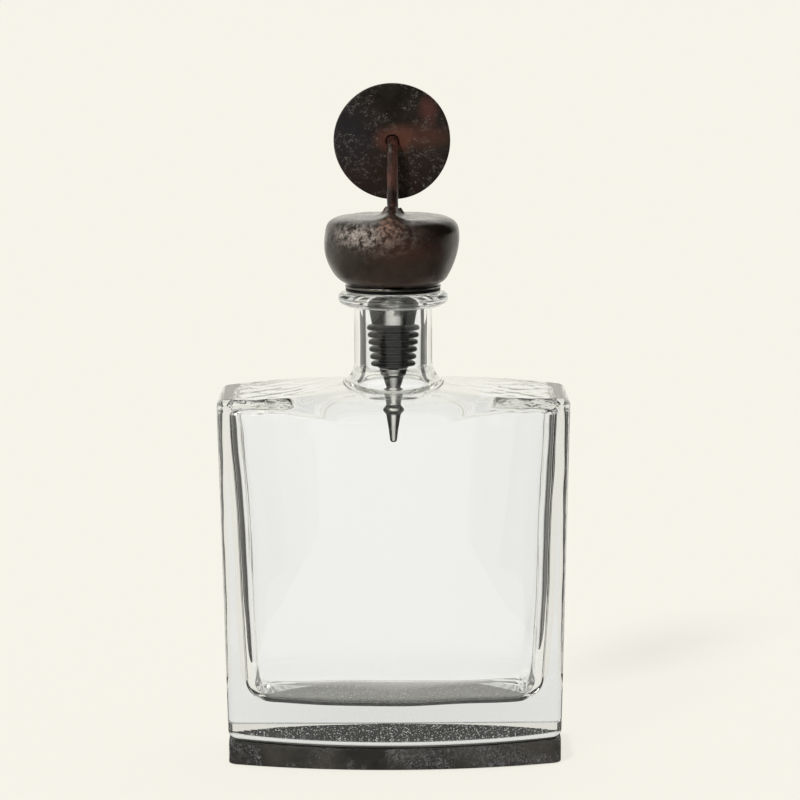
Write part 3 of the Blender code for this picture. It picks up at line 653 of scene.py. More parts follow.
def plug_mesh():
    """The plug: flange, cone, stem and spigot, with the stud's hole from above."""
    hole = 4.3 * MM
    stem = 4.0 * MM
    spigot = 2.2 * MM
    top = PLUG_HIGH.z
    hole_low = top - 10.3 * MM
    flange = PLUG_HIGH.x
    under = top - 1.0 * MM
    cone_low = under - 14.0 * MM
    cone_top = BORE_RADIUS - 0.8 * MM
    stem_low = SLEEVE_LOW.z - 0.3 * MM
    corners = [
        (0.05 * MM, hole_low),
        (hole, hole_low),
        (hole, top, 0.2 * MM),
        (flange, top, 0.3 * MM),
        (flange, under, 0.3 * MM),
        (cone_top + 1.2 * MM, under, 0.4 * MM),
        (cone_top, under - 1.4 * MM, 0.8 * MM),
        (cone_top, under - 4.7 * MM, 2.0 * MM),
        (cone_top - 1.7 * MM, cone_low, 0.4 * MM),
        (stem, cone_low),
        (stem, stem_low),
        (spigot, stem_low),
        (spigot, PLUG_LOW.z),
        (0.05 * MM, PLUG_LOW.z),
    ]
    return skin("turned_plug", swept(softened(corners, 6), 160), start_pole=True, end_pole=True)


def tip_mesh():
    """The tip: collar, cone, pinched bead and blunt point."""
    top = TIP_HIGH.z
    low = TIP_LOW.z
    wide = TIP_HIGH.x
    bead = top - 13.7 * MM
    bead_radius = 4.1 * MM
    bead_half = 0.45 * MM
    pinch = 2.8 * MM
    pinch_away = 2.2 * MM
    hole = 2.5 * MM
    hole_low = top - 6.3 * MM
    corners = [
        (0.05 * MM, hole_low),
        (hole, hole_low),
        (hole, top),
        (wide, top, 0.25 * MM),
        (wide - 0.45 * MM, top - 3.0 * MM, 0.3 * MM),
        (4.15 * MM, top - 3.7 * MM, 0.4 * MM),
        (pinch, bead + pinch_away, 0.6 * MM),
        (bead_radius, bead + bead_half, 0.35 * MM),
        (bead_radius, bead - bead_half, 0.35 * MM),
        (pinch, bead - pinch_away, 0.6 * MM),
        (1.25 * MM, low + 0.2 * MM, 0.8 * MM),
        (0.05 * MM, low),
    ]
    return skin("turned_tip", swept(softened(corners, 7), 128), start_pole=True, end_pole=True)


# Forged iron


def dented(grid, centres, width, depth):
    """Shallow dents: at each centre a bell-shaped hollow, as a sum of depths to move inwards."""
    total = np.zeros(grid.shape[:-1])
    for centre in centres:
        gap = np.sum((grid - centre) ** 2, -1)
        total += depth * np.exp(-gap / (2 * width**2))
    return total


# The knob: its crown and the brow round it, the tented weld, and how many dents it has and how big
CROWN_LEVEL = KNOB_HIGH.z - 1.8 * MM
CROWN_RADIUS = 14.0 * MM
CROWN_CONE = 0.5 * MM
BROW_SQUARENESS = 0.59
BELLY_LEVEL = KNOB_LOW.z + 0.64 * (KNOB_HIGH.z - KNOB_LOW.z)
TENT_ASIDE = 0.3 * MM
DENTS = 60
DENT_WIDTH = 2.6 * MM
DENT_DEPTH = 0.18 * MM
DENT_SPREAD = 27.8 * MM


def knob_height(r):
    """The top of the knob at a radius: a crown that is nearly flat, then a superellipse from its
    edge down to the belly."""
    share = ramp(r, CROWN_RADIUS, KNOB_HIGH.x - CROWN_RADIUS)
    left = (1 - share ** (2 / BROW_SQUARENESS)) ** (BROW_SQUARENESS / 2)
    cone = CROWN_CONE * ramp(r, CROWN_RADIUS, -CROWN_RADIUS)
    return BELLY_LEVEL + (CROWN_LEVEL - BELLY_LEVEL) * left + cone


def tent_height(x, y):
    """How far weld and ridge stand above the knob's crown: a collar that falls off exponentially
    from the rod, and towards the front a ridge whose crest falls and whose bell-shaped section
    widens on the way. The rod stands a little to one side of it."""
    x = x + TENT_ASIDE
    out = np.clip(np.hypot(x, y) - ROD_HIGH.x, 0, None)
    ahead = np.clip(-y, 0, None)
    width = 2.0 * MM + 0.15 * ahead
    crest = 1.9 * MM * np.exp(-ahead / (6 * MM)) + 1.7 * MM
    ridge = crest * np.exp(-((np.abs(x) / width) ** 2.2)) * ramp(ahead, 0, 3 * MM)
    return 2.2 * MM * np.exp(-out / (1.5 * MM)) + ridge


def knob_profile():
    """The knob's section: stud hole upwards, then from the rod's hole over the top to the foot."""
    low, wide = KNOB_LOW.z, KNOB_HIGH.x
    foot = 16.6 * MM
    bore = 2.3 * MM
    crown = np.linspace(bore, CROWN_RADIUS, 48)[:-1]
    top = np.stack([crown, knob_height(crown)], -1)
    a = np.linspace(0, math.pi / 2, 90)
    upper_r = CROWN_RADIUS + (wide - CROWN_RADIUS) * np.sin(a) ** BROW_SQUARENESS
    upper_z = BELLY_LEVEL + (CROWN_LEVEL - BELLY_LEVEL) * np.abs(np.cos(a)) ** BROW_SQUARENESS
    b = np.linspace(0, math.radians(80), 60)[1:]
    lower_r = foot + (wide - foot) * np.cos(b)
    lower_z = BELLY_LEVEL - (BELLY_LEVEL - low) * np.sin(b)
    socket = CROWN_LEVEL - 6.5 * MM
    inner = np.array([(0.05 * MM, socket), (bore, socket)])
    stud = 4.3 * MM
    stud_end = low + 11.8 * MM
    under = [(16 * MM, low), (10 * MM, low), (stud, low), (stud, stud_end), (0.05 * MM, stud_end)]
    body = np.stack([np.concatenate([upper_r, lower_r]), np.concatenate([upper_z, lower_z])], -1)
    return np.concatenate([inner, top, body, np.array(under)])


def knob_dents():
    """Where the hammer left the knob's soft dents: bearings and levels drawn at random, on a barrel
    that is widest at six tenths of the height."""
    draw = rng(33)
    angle = draw.uniform(0, 2 * math.pi, DENTS)
    level = draw.uniform(0.1, 0.95, DENTS)
    reach = KNOB_HIGH.x * (1 - 0.35 * np.abs(level - 0.6))
    height = KNOB_LOW.z + level * DENT_SPREAD
    return np.stack([reach * np.cos(angle), reach * np.sin(angle), height], -1)


def knob_push(grid, height, turn):
    """How far the knob's side is pushed out: fuller low on the left and sagging on the right, as
    bells over its height, with broad and fine ripples, dents, and a crumpled band on the upper
    front. Height runs from 0 at the foot to 1 at the crown, turn is the bearing from the front."""
    side = grid[..., 0]
    left = ramp(-side, 0, KNOB_HIGH.x) ** 1.5
    right = ramp(side, 0, KNOB_HIGH.x) ** 1.5
    push = 1.5 * MM * left * bell(height, 0.43, 0.34) - 0.6 * MM * right * bell(height, 0.27, 0.27)
    push += 0.25 * MM * ripple(grid, 24 * MM, 31) + 0.06 * MM * ripple(grid, 9 * MM, 32)
    push -= dented(grid, knob_dents(), DENT_WIDTH, DENT_DEPTH)
    crumple = bell(turn, -0.18, 0.66) * bell(height, 0.81, 0.11)
    push += crumple * 0.28 * MM * ripple(grid, 5 * MM, 36)
    push += crumple * 0.15 * MM * ripple(grid, 2.2 * MM, 37)
    return push + (0.4 + crumple) * 0.04 * MM * ripple(grid, 1.3 * MM, 39)


def knob_mesh():
    """The forged knob. A turned section is pushed about by hand: its side as knob_push says, its
    brow drooping at the front right, and a ridge that runs from the rod's root over the front brow,
    where it ends in a knuckle. The hidden socket and foot stay as turned."""
    grid = swept(knob_profile(), 384)
    x, y, z = np.moveaxis(grid, -1, 0)
    r = np.hypot(x, y)
    outward = grid * (1, 1, 0) / np.maximum(r, MM)[..., None]
    shell = ramp(r, 9 * MM, 10 * MM)
    height = (z - KNOB_LOW.z) / (CROWN_LEVEL - KNOB_LOW.z)
    turn = from_front(np.arctan2(y, x))
    wander = 0.8 * MM * ripple(grid, 8 * MM, 35)
    knuckle = 1.2 * MM * bell(turn * r + wander, -0.8 * MM, 4.6 * MM) * bell(height, 0.88, 0.14)
    push = shell * (knob_push(grid, height, turn) * ramp(height, 0, 0.12) + knuckle)
    right = ramp(x, 0, KNOB_HIGH.x) ** 1.5
    droop = 1.5 * MM * right * ramp(-y / KNOB_HIGH.x, -0.35, 1) * ramp(height, 0.62, 0.3)
    tent = tent_height(x, y) * ramp(r, 26 * MM, -5 * MM)
    uneven = 0.12 * MM * ripple(grid, 13 * MM, 34) + 0.03 * MM * ripple(grid, 3 * MM, 38)
    rise = ramp(height, 0.8, 0.1) * (tent + uneven * ramp(r, 3 * MM, 4 * MM))
    grid = grid + outward * push[..., None]
    grid[..., 2] += rise - droop
    return skin("forged_knob", grid, start_pole=True, end_pole=True)


def weld_mesh():
    """The weld round the rod's root: a rough skin over the tent, furthest down its front, with two
    nubs beside the rod. Its thickness is a power of the way left to its rim."""
    around = 160
    rings = 48
    angle = circle(around)
    front = bell(from_front(angle), 0, 0.55)
    lobes = 0.5 * np.sin(3 * angle + 1.0) + 0.4 * np.sin(5 * angle + 0.3)
    rim = (4.9 + 7.0 * front + 0.5 * lobes) * MM
    share = np.linspace(0, 1, rings)[:, None]
    collar = 2.1 * MM
    r = collar + (rim - collar) * share**1.25
    x, y = r * np.cos(angle), r * np.sin(angle)
    side = np.where(np.cos(angle) > 0, 1.5, 1.0) * MM
    nubs = bell(np.sin(angle), 0.25, 0.45) * bell(r, 3.4 * MM, 0.9 * MM)
    over = 0.45 * MM * (1 - share) ** 1.2 - 0.10 * MM * share**4 + side * nubs
    z = knob_height(r) + tent_height(x, y) + over
    hole = np.full((1, around), 1.9 * MM)
    sunk = np.stack([rim - 0.8 * MM, rim * 0.45])
    sunk_z = knob_height(sunk) - 1.2 * MM
    r = np.concatenate([hole, r, sunk, hole])
    z = np.concatenate([z[:1] + 0.1 * MM, z, sunk_z, np.full((1, around), CROWN_LEVEL - 1.6 * MM)])
    grid = np.stack([r * np.cos(angle), r * np.sin(angle), z], -1)
    shown = np.zeros(r.shape)
    shown[1 : rings + 1] = np.clip(4 * (1 - share), 0.25, 1)
    away = np.stack([np.cos(angle) + 0 * z, np.sin(angle) + 0 * z, 0.8 + 0 * z], -1)
    rough = 0.10 * MM * ripple(grid, 1.9 * MM, 41) + 0.14 * MM * ripple(grid, 4.5 * MM, 42)
    grid = grid + away * (rough * shown)[..., None]
    return skin("weld_skirt", grid, ring=True)


# Where the disc stands: its face's middle, and its lean towards the front
DISC_THICKNESS = 2.4 * MM
DISC_LEAN = math.radians(4)
DISC_SETBACK = 6.2 * MM
DISC_CENTRE_HEIGHT = (DISC_LOW.z + DISC_HIGH.z) / 2 - DISC_THICKNESS / 2 * math.sin(DISC_LEAN)


def rod_mesh():
    """The rod: a round section carried up out of the knob and over a quarter bend into the disc."""
    centre = DISC_CENTRE_HEIGHT
    bend = 5.0 * MM
    end = ROD_HIGH.y
    up = np.linspace(ROD_LOW.z, centre - bend, 60)
    turn = np.linspace(0, math.pi / 2, 22)[1:]
    over = np.linspace(bend, end, 5)[1:]
    y = np.concatenate([0 * up, bend - bend * np.cos(turn), over])[:, None]
    z = np.concatenate([up, centre - bend + bend * np.sin(turn), centre + 0 * over])[:, None]
    lean = np.concatenate([0 * up, turn, 0 * over + math.pi / 2])[:, None]
    angle = circle(48)
    radius = ROD_HIGH.x * (1 - 0.03 * np.sin(np.linspace(0, 9, len(y))))[:, None]
    side = radius * np.cos(angle)
    depth = radius * np.sin(angle)
    grid = solid_rows(side, y + depth * np.cos(lean), z - depth * np.sin(lean))
    out = solid_rows(np.cos(angle) + 0 * side, np.sin(angle) + 0 * side, 0.0)
    grid = grid + out * (0.06 * MM * ripple(grid, 6 * MM, 51))[..., None]
    return skin("bent_rod", grid[::-1], start_pole=True, end_pole=True)


def leaning(grid):
    """Stands a piece made round +Z on edge at the disc's place: top forward by the disc's lean."""
    turn = math.pi / 2 + DISC_LEAN
    x, y, z = np.moveaxis(grid, -1, 0)
    back = y * math.cos(turn) - z * math.sin(turn)
    up = y * math.sin(turn) + z * math.cos(turn)
    return np.stack([x, back + DISC_SETBACK, up + DISC_CENTRE_HEIGHT], -1)


def disc_mesh():
    """The disc: two faces and a rounded rim round the rod's hole, the rim and faces softly uneven."""
    hole = 2.5 * MM
    wide = DISC_HIGH.x
    thick = DISC_THICKNESS
    soft = 0.75 * MM
    t = np.linspace(0, math.pi / 2, 7)
    face = np.linspace(hole + 0.3 * MM, wide - soft, 40)[:-1]
    front = np.stack([face, 0 * face], -1)
    rim = np.stack([wide - soft + soft * np.sin(t), -soft + soft * np.cos(t)], -1)
    back = np.stack([rim[::-1, 0], -thick - rim[::-1, 1]], -1)
    rear = np.stack([face[::-1], -thick + 0 * face], -1)
    bore = np.array([(hole, -thick + 0.3 * MM), (hole, -0.3 * MM)])
    grid = swept(np.concatenate([front, rim, back, rear, bore]), 240)
    r = np.hypot(grid[..., 0], grid[..., 1])
    flat = grid * (1, 1, 0)
    edge = ramp(r, 17 * MM, 5 * MM)
    grow = 1 + 0.008 * edge * (ripple(flat, 20 * MM, 61) - 1)
    grid = grid * np.stack([grow, grow, 1 + 0 * grow], -1)
    grid[..., 2] += 0.10 * MM * ripple(flat, 11 * MM, 62) + 0.10 * MM * ripple(flat, 30 * MM, 63)
    return skin("forged_disc", leaning(grid), ring=True)


def bead_mesh():
    """The weld on the disc's back: a low uneven dome over the rod's end."""
    wide = 4.4 * MM
    tall = 1.6 * MM
    a = np.linspace(0, math.pi / 2, 16)[:-1]
    r = wide * np.cos(a)
    z = -tall * np.sin(a)
    profile = np.stack([np.concatenate([[0.4 * wide], r]), np.concatenate([[0.25 * MM], z])], -1)
    grid = swept(profile, 72)
    uneven = 1 + 0.06 * ripple(grid, 3 * MM, 71) + 0.05 * ripple(grid, 6 * MM, 72)
    grid = grid * uneven[..., None]
    grid[..., 2] -= DISC_THICKNESS
    return skin("weld_bead", leaning(grid), start_pole=True, end_pole=True)


# Shader helpers


def give(tree, socket, value):
    """Gives an input a number, a vector, a colour of three parts, or another node's output."""
    if isinstance(value, bpy.types.NodeSocket):
        tree.links.new(value, socket)
    elif socket.type == "RGBA":
        socket.default_value = (*value, 1.0)
    else:
        socket.default_value = value


def feed(tree, node, **values):
    """Gives a node's inputs what is listed under their names, with underscores for spaces."""
    for key, value in values.items():
        give(tree, node.inputs[key.replace("_", " ")], value)


def add(tree, kind, **settings):
    """A node in a tree. A setting is a property of the node, or what one of its inputs is given."""
    made = tree.nodes.new(kind)
    for key, value in settings.items():
        if hasattr(made, key):
            setattr(made, key, value)
        else:
            feed(tree, made, **{key: value})
    return made


def blank(name):
    """A new material, its tree and its Principled shader."""
    made = bpy.data.materials.new(name)
    made.use_nodes = True
    tree = made.node_tree
    return made, tree, tree.nodes["Principled BSDF"]


def bare(name):
    """A new material without a shader, and its tree."""
    made, tree, shader = blank(name)
    tree.nodes.remove(shader)
    return made, tree


def surface_of(tree, factor, first, second):
    """Makes the material's surface a mix of two shaders."""
    mix = add(tree, "ShaderNodeMixShader")
    for socket, source in zip(mix.inputs, (factor, first, second)):
        tree.links.new(source, socket)
    feed(tree, tree.nodes["Material Output"], Surface=mix.outputs["Shader"])


def texture_space(tree, stretch=(1, 1, 1), turn=(0, 0, 0), shift=(0, 0, 0)):
    """Object coordinates, moved, turned and then drawn out: a stretch of 3 makes marks 3 times as
    long."""
    place = add(tree, "ShaderNodeTexCoord").outputs["Object"]
    made = add(tree, "ShaderNodeMapping", vector_type="TEXTURE", Vector=place)
    feed(tree, made, Scale=stretch, Rotation=turn, Location=shift)
    return made.outputs["Vector"]


def axes(tree, vector):
    """The three parts of a vector, by axis."""
    return add(tree, "ShaderNodeSeparateXYZ", Vector=vector).outputs


def scaled(tree, vector, size):
    """A vector or a colour times a number."""
    made = add(tree, "ShaderNodeVectorMath", operation="SCALE", Vector=vector, Scale=size)
    return made.outputs["Vector"]


def noise(tree, space, scale, detail=4.0, roughness=0.5, distortion=0.0):
    """A noise texture's value over a space."""
    made = add(tree, "ShaderNodeTexNoise", Vector=space, Scale=scale, Detail=detail)
    feed(tree, made, Roughness=roughness, Distortion=distortion)
    return made.outputs["Fac"]


def window(tree, value, low, high, start=0.0, finish=1.0):
    """A value mapped from low..high to start..finish, kept between them."""
    made = add(tree, "ShaderNodeMapRange", Value=value, From_Min=low, From_Max=high)
    feed(tree, made, To_Min=start, To_Max=finish)
    return made.outputs["Result"]


def maths(tree, operation, first, second=0.0):
    """Two values, or a value and a number, put together."""
    made = add(tree, "ShaderNodeMath", operation=operation)
    for socket, value in zip(made.inputs, (first, second)):
        give(tree, socket, value)
    return made.outputs["Value"]


def times(tree, first, second):
    """The product of two values."""
    return maths(tree, "MULTIPLY", first, second)


def mixed(tree, first, second, share):
    """Two values added up, the second at a share of its size and the first at what is left of 1."""
    return maths(tree, "ADD", times(tree, first, 1 - share), times(tree, second, share))


def off_middle(tree, value):
    """How far a value is from a half. Of a noise, this draws creases along its middle level."""
    return maths(tree, "ABSOLUTE", maths(tree, "SUBTRACT", value, 0.5))


def tint(tree, factor, first, second):
    """A colour between two, each a colour or an output."""
    made = add(tree, "ShaderNodeMix", data_type="RGBA", Factor=factor)
    give(tree, made.inputs[6], first)
    give(tree, made.inputs[7], second)
    return made.outputs[2]


def washed(tree, colour, washes):
    """A colour with others laid over it in turn. Each wash is a mask, a strength and a colour."""
    for mask, strength, over in washes:
        colour = tint(tree, times(tree, mask, strength), colour, over)
    return colour


def bumped(tree, shader, height, distance, strength=1.0, under=None):
    """Feeds a height through a Bump node into the shader's normal, over another bump if given."""
    made = add(tree, "ShaderNodeBump", Height=height, Distance=distance, Strength=strength)
    if under is not None:
        feed(tree, made, Normal=under)
    if shader is not None:
        feed(tree, shader, Normal=made.outputs["Normal"])
    return made.outputs["Normal"]


def ray_story(tree):
    """What a ray has been through since the camera: 1 if it was mirrored, 1 if it went through
    glass, and 1 if it bounced off something matt and so only lights."""
    light = add(tree, "ShaderNodeLightPath").outputs
    depths = ("Glossy Depth", "Transmission Depth", "Diffuse Depth")
    return [maths(tree, "GREATER_THAN", light[depth], 0.5) for depth in depths]


def thrown_back(tree):
    """1 for a ray that the inside of the glass threw back, so that what it meets is an image of an
    image."""
    mirrored, through, _ = ray_story(tree)
    return times(tree, mirrored, through)


def effect(name, inputs, outputs):
    """A new shader node group with float inputs and outputs: its tree, what it is given, and its
    end node."""
    tree = bpy.data.node_groups.new(name, "ShaderNodeTree")
    for label, value in inputs:
        socket = tree.interface.new_socket(label, in_out="INPUT", socket_type="NodeSocketFloat")
        socket.default_value = value
    for label in outputs:
        tree.interface.new_socket(label, in_out="OUTPUT", socket_type="NodeSocketFloat")
    return tree, add(tree, "NodeGroupInput").outputs, add(tree, "NodeGroupOutput")


def placed(tree, group, **values):
    """What a node group puts out in a material, with the group's own values there."""
    return add(tree, "ShaderNodeGroup", node_tree=group, **values).outputs


def scratch_effect():
    """Fine scratches in patches: straight ones from noises drawn out at different slants, and curled
    ones along one level of a bent noise, broken up by another."""
    tree, given, result = effect("fine_scratches", [("Density", 0.5)], ["Mask"])
    place = texture_space(tree)
    curl = window(tree, off_middle(tree, noise(tree, place, 560.0, 2.0, 0.6, 1.8)), 0.024, 0.008)
    total = times(tree, curl, window(tree, noise(tree, place, 420.0, 2.0, 0.6), 0.50, 0.54))
    for turn, seed in ((0.5, 0.13), (-0.9, 0.29), (1.4, 0.37), (-0.2, 0.53)):
        space = texture_space(tree, (1, 1, 26), (0.2, turn, 0.1), (seed, seed, seed))
        line = window(tree, noise(tree, space, 2600.0, 1.0, 0.4), 0.75, 0.80)
        total = maths(tree, "MAXIMUM", total, line)
    least = maths(tree, "SUBTRACT", 0.72, times(tree, given["Density"], 0.4))
    over = maths(tree, "SUBTRACT", noise(tree, place, 95.0, 4.0, 0.65), least)
    feed(tree, result, Mask=times(tree, total, window(tree, over, 0.0, 0.08)))
    return tree


def speck_effect():
    """Tiny specks: the cores of a few of the cells of a fine Voronoi pattern."""
    inputs = [("Scale", 1500.0), ("Share", 0.2), ("Size", 0.3)]
    tree, given, result = effect("specks", inputs, ["Mask"])
    cells = add(tree, "ShaderNodeTexVoronoi", Vector=texture_space(tree), Scale=given["Scale"])
    near = maths(tree, "LESS_THAN", cells.outputs["Distance"], given["Size"])
    pick = add(tree, "ShaderNodeSeparateColor", Color=cells.outputs["Color"])
    chosen = maths(tree, "LESS_THAN", pick.outputs["Red"], given["Share"])
    feed(tree, result, Mask=times(tree, near, chosen))
    return tree


def scale_effect():
    """Forge scale: broad blotches and a fine grain, as a mottle and a height."""
    tree, given, result = effect("forge_scale", [("Size", 1.0)], ["Mottle", "Height"])
    space = scaled(tree, texture_space(tree), given["Size"])
    broad = noise(tree, space, 70.0, 5.0, 0.6, 0.6)
    fine = noise(tree, space, 700.0, 4.0, 0.7)
    mottle = window(tree, mixed(tree, broad, fine, 0.3), 0.35, 0.65)
    feed(tree, result, Mottle=mottle, Height=mixed(tree, broad, fine, 0.5))
    return tree


SCRATCHES = scratch_effect()
SPECKS = speck_effect()
FORGE_SCALE = scale_effect()


def patch_mask(tree, level, centre, reach, soften):
    """A blotch round a place: 1 at its centre, fading past its reach with a ragged edge. Centre and
    reach are in millimetres along each axis, and the centre's height counts from a level."""
    x, y, above = centre
    stretch = [part * MM for part in reach]
    space = texture_space(tree, stretch, shift=(x * MM, y * MM, level + above * MM))
    away = add(tree, "ShaderNodeVectorMath", operation="LENGTH", Vector=space).outputs["Value"]
    ragged = noise(tree, texture_space(tree), 260.0, 4.0, 0.65)
    distance = maths(tree, "ADD", away, times(tree, ragged, 0.9))
    return window(tree, distance, 1.45 + soften, 1.45 - soften)


# Materials

IMAGE_PALE = (0.92, 0.92, 0.90)
GLASS_TINT = (0.85, 0.855, 0.86)
GLASS_DENSITY = 20.0

# After how many turns a ray in the glass is let through: of any kind, or mirrorings near the middle
GLASS_TURNS = 7.5
MIRROR_TURNS = 3.5
SPENT_ASIDE = 54 * MM

# How such a ray is tinted: clear, and with painted shade in swirls that comes in on the way to the
# ends
SPENT_CLEAR = (0.97, 0.975, 0.97)
SPENT_DARK = (0.06, 0.06, 0.057)
SWIRL_FROM = 32 * MM
SWIRL_FULL = 50 * MM

# Levels between which painted shade comes in clouds over the plug's steel
SHADE_CLOUD_FROM = 171 * MM
SHADE_CLOUD_FULL = 173 * MM


def glass_finish():
    """Clear glass with a trace of grey-green. Lamps shine through it: shadow rays pass, and so does
    a ray that has been thrown about inside for a long time, so that it ends in the pale room. Near
    the neck few mirrorings are enough for that. Beyond it such a ray dims in swirls each time it
    passes, and at the end walls it is left to darken their lines."""
    made, tree, shader = blank("clear glass")
    feed(tree, shader, Base_Color=(0.995, 1.0, 0.998), Roughness=0.0, IOR=1.5)
    feed(tree, shader, Transmission_Weight=1.0)
    light = add(tree, "ShaderNodeLightPath").outputs
    mirrored = maths(tree, "GREATER_THAN", light["Glossy Depth"], MIRROR_TURNS)
    aside = maths(tree, "ABSOLUTE", axes(tree, texture_space(tree))["X"])
    swirl = add(tree, "ShaderNodeTexWave", wave_type="RINGS", rings_direction="SPHERICAL")
    feed(tree, swirl, Vector=texture_space(tree, (1, 1, 1.6)), Scale=100.0, Distortion=9.0)
    feed(tree, swirl, Detail=2.0, Detail_Scale=1.2)
    # painted shade: spent rays towards the ends are darkened in swirls, drawing the end walls' dark
    # lines
    dimming = times(tree, window(tree, aside, SWIRL_FROM, SWIRL_FULL), mirrored)
    dimming = times(tree, dimming, window(tree, swirl.outputs["Fac"], 0.30, 0.75))
    passed = tint(tree, dimming, SPENT_CLEAR, SPENT_DARK)
    clear = add(tree, "ShaderNodeBsdfTransparent", Color=passed)
    central = times(tree, mirrored, maths(tree, "LESS_THAN", aside, SPENT_ASIDE))
    spent = maths(tree, "GREATER_THAN", light["Ray Depth"], GLASS_TURNS)
    spent = maths(tree, "MAXIMUM", spent, central)
    spent = maths(tree, "MAXIMUM", light["Is Shadow Ray"], spent)
    surface_of(tree, spent, shader.outputs["BSDF"], clear.outputs["BSDF"])
    body = add(tree, "ShaderNodeVolumeAbsorption", Color=GLASS_TINT, Density=GLASS_DENSITY)
    feed(tree, tree.nodes["Material Output"], Volume=body.outputs["Volume"])
    return made


def plate_finish():
    """Blackened iron, nearly matt: blotches, crinkled patches whose folds carry a painted pale
    highlight, a few scuffs and a fine crust."""
    made, tree, shader = blank("blackened iron")
    scale = placed(tree, FORGE_SCALE, Size=0.7)
    lines = placed(tree, SCRATCHES, Density=0.55)["Mask"]
    space = texture_space(tree)
    fold = off_middle(tree, noise(tree, space, 520.0, 3.0, 0.6, 1.4))
    patch = window(tree, noise(tree, space, 70.0, 3.0, 0.6), 0.47, 0.57)
    crinkle_and_highlight = times(tree, window(tree, fold, 0.065, 0.014), patch)
    broad = window(tree, noise(tree, space, 45.0, 2.0, 0.5), 0.38, 0.62)
    clouds = mixed(tree, scale["Mottle"], broad, 0.5)
    base = tint(tree, clouds, (0.014, 0.0133, 0.0122), (0.072, 0.066, 0.0575))
    # painted highlight: the crinkles' folds are painted pale grey where they would catch the light
    washes = [(crinkle_and_highlight, 0.8, (0.28, 0.28, 0.29)), (lines, 0.6, (0.19, 0.185, 0.175))]
    feed(tree, shader, Base_Color=washed(tree, base, washes), Metallic=0.35)
    feed(tree, shader, Roughness=window(tree, scale["Mottle"], 0, 1, 0.62, 0.5))
    under = bumped(tree, None, scale["Height"], 0.25 * MM, 0.8)
    bumped(tree, shader, crinkle_and_highlight, 0.6 * MM, 1.0, under)
    return made


def disc_finish():
    """Brown-black forge scale with rust round the rod and high on the right, blue on the left."""
    made, tree, shader = blank("forged disc scale")
    scale = placed(tree, FORGE_SCALE, Size=0.9)
    lines = placed(tree, SCRATCHES, Density=0.75)["Mask"]
    dust = placed(tree, SPECKS, Scale=1900.0, Share=0.008, Size=0.35)["Mask"]
    middle = DISC_CENTRE_HEIGHT
    base = tint(tree, scale["Mottle"], (0.0055, 0.0042, 0.0032), (0.020, 0.0155, 0.012))
    warm = patch_mask(tree, middle, (-6, 0, -12), (22, 1000, 18), 0.6)
    blue = patch_mask(tree, middle, (-17, 0, 1), (10, 1000, 12), 0.6)
    hole = patch_mask(tree, middle, (2, 0, 1), (7.5, 1000, 4.5), 0.4)
    band = patch_mask(tree, middle, (10, 0, 2), (12, 1000, 4), 0.5)
    corner = patch_mask(tree, middle, (13.8, 0, 12), (3, 1000, 4.4), 0.6)
    washes = [
        (warm, 0.5, (0.026, 0.014, 0.010)),
        (blue, 0.4, (0.018, 0.020, 0.028)),
        (maths(tree, "MAXIMUM", hole, times(tree, band, 0.5)), 0.8, (0.095, 0.036, 0.024)),
        (corner, 0.6, (0.085, 0.028, 0.024)),
        (lines, 0.7, (0.15, 0.14, 0.125)),
        (dust, 0.6, (0.26, 0.23, 0.20)),
    ]
    feed(tree, shader, Base_Color=washed(tree, base, washes), Metallic=0.1)
    feed(tree, shader, Specular_IOR_Level=0.15)
    feed(tree, shader, Roughness=window(tree, scale["Mottle"], 0, 1, 0.5, 0.36))
    bumped(tree, shader, scale["Height"], 0.15 * MM, 0.8)
    return made


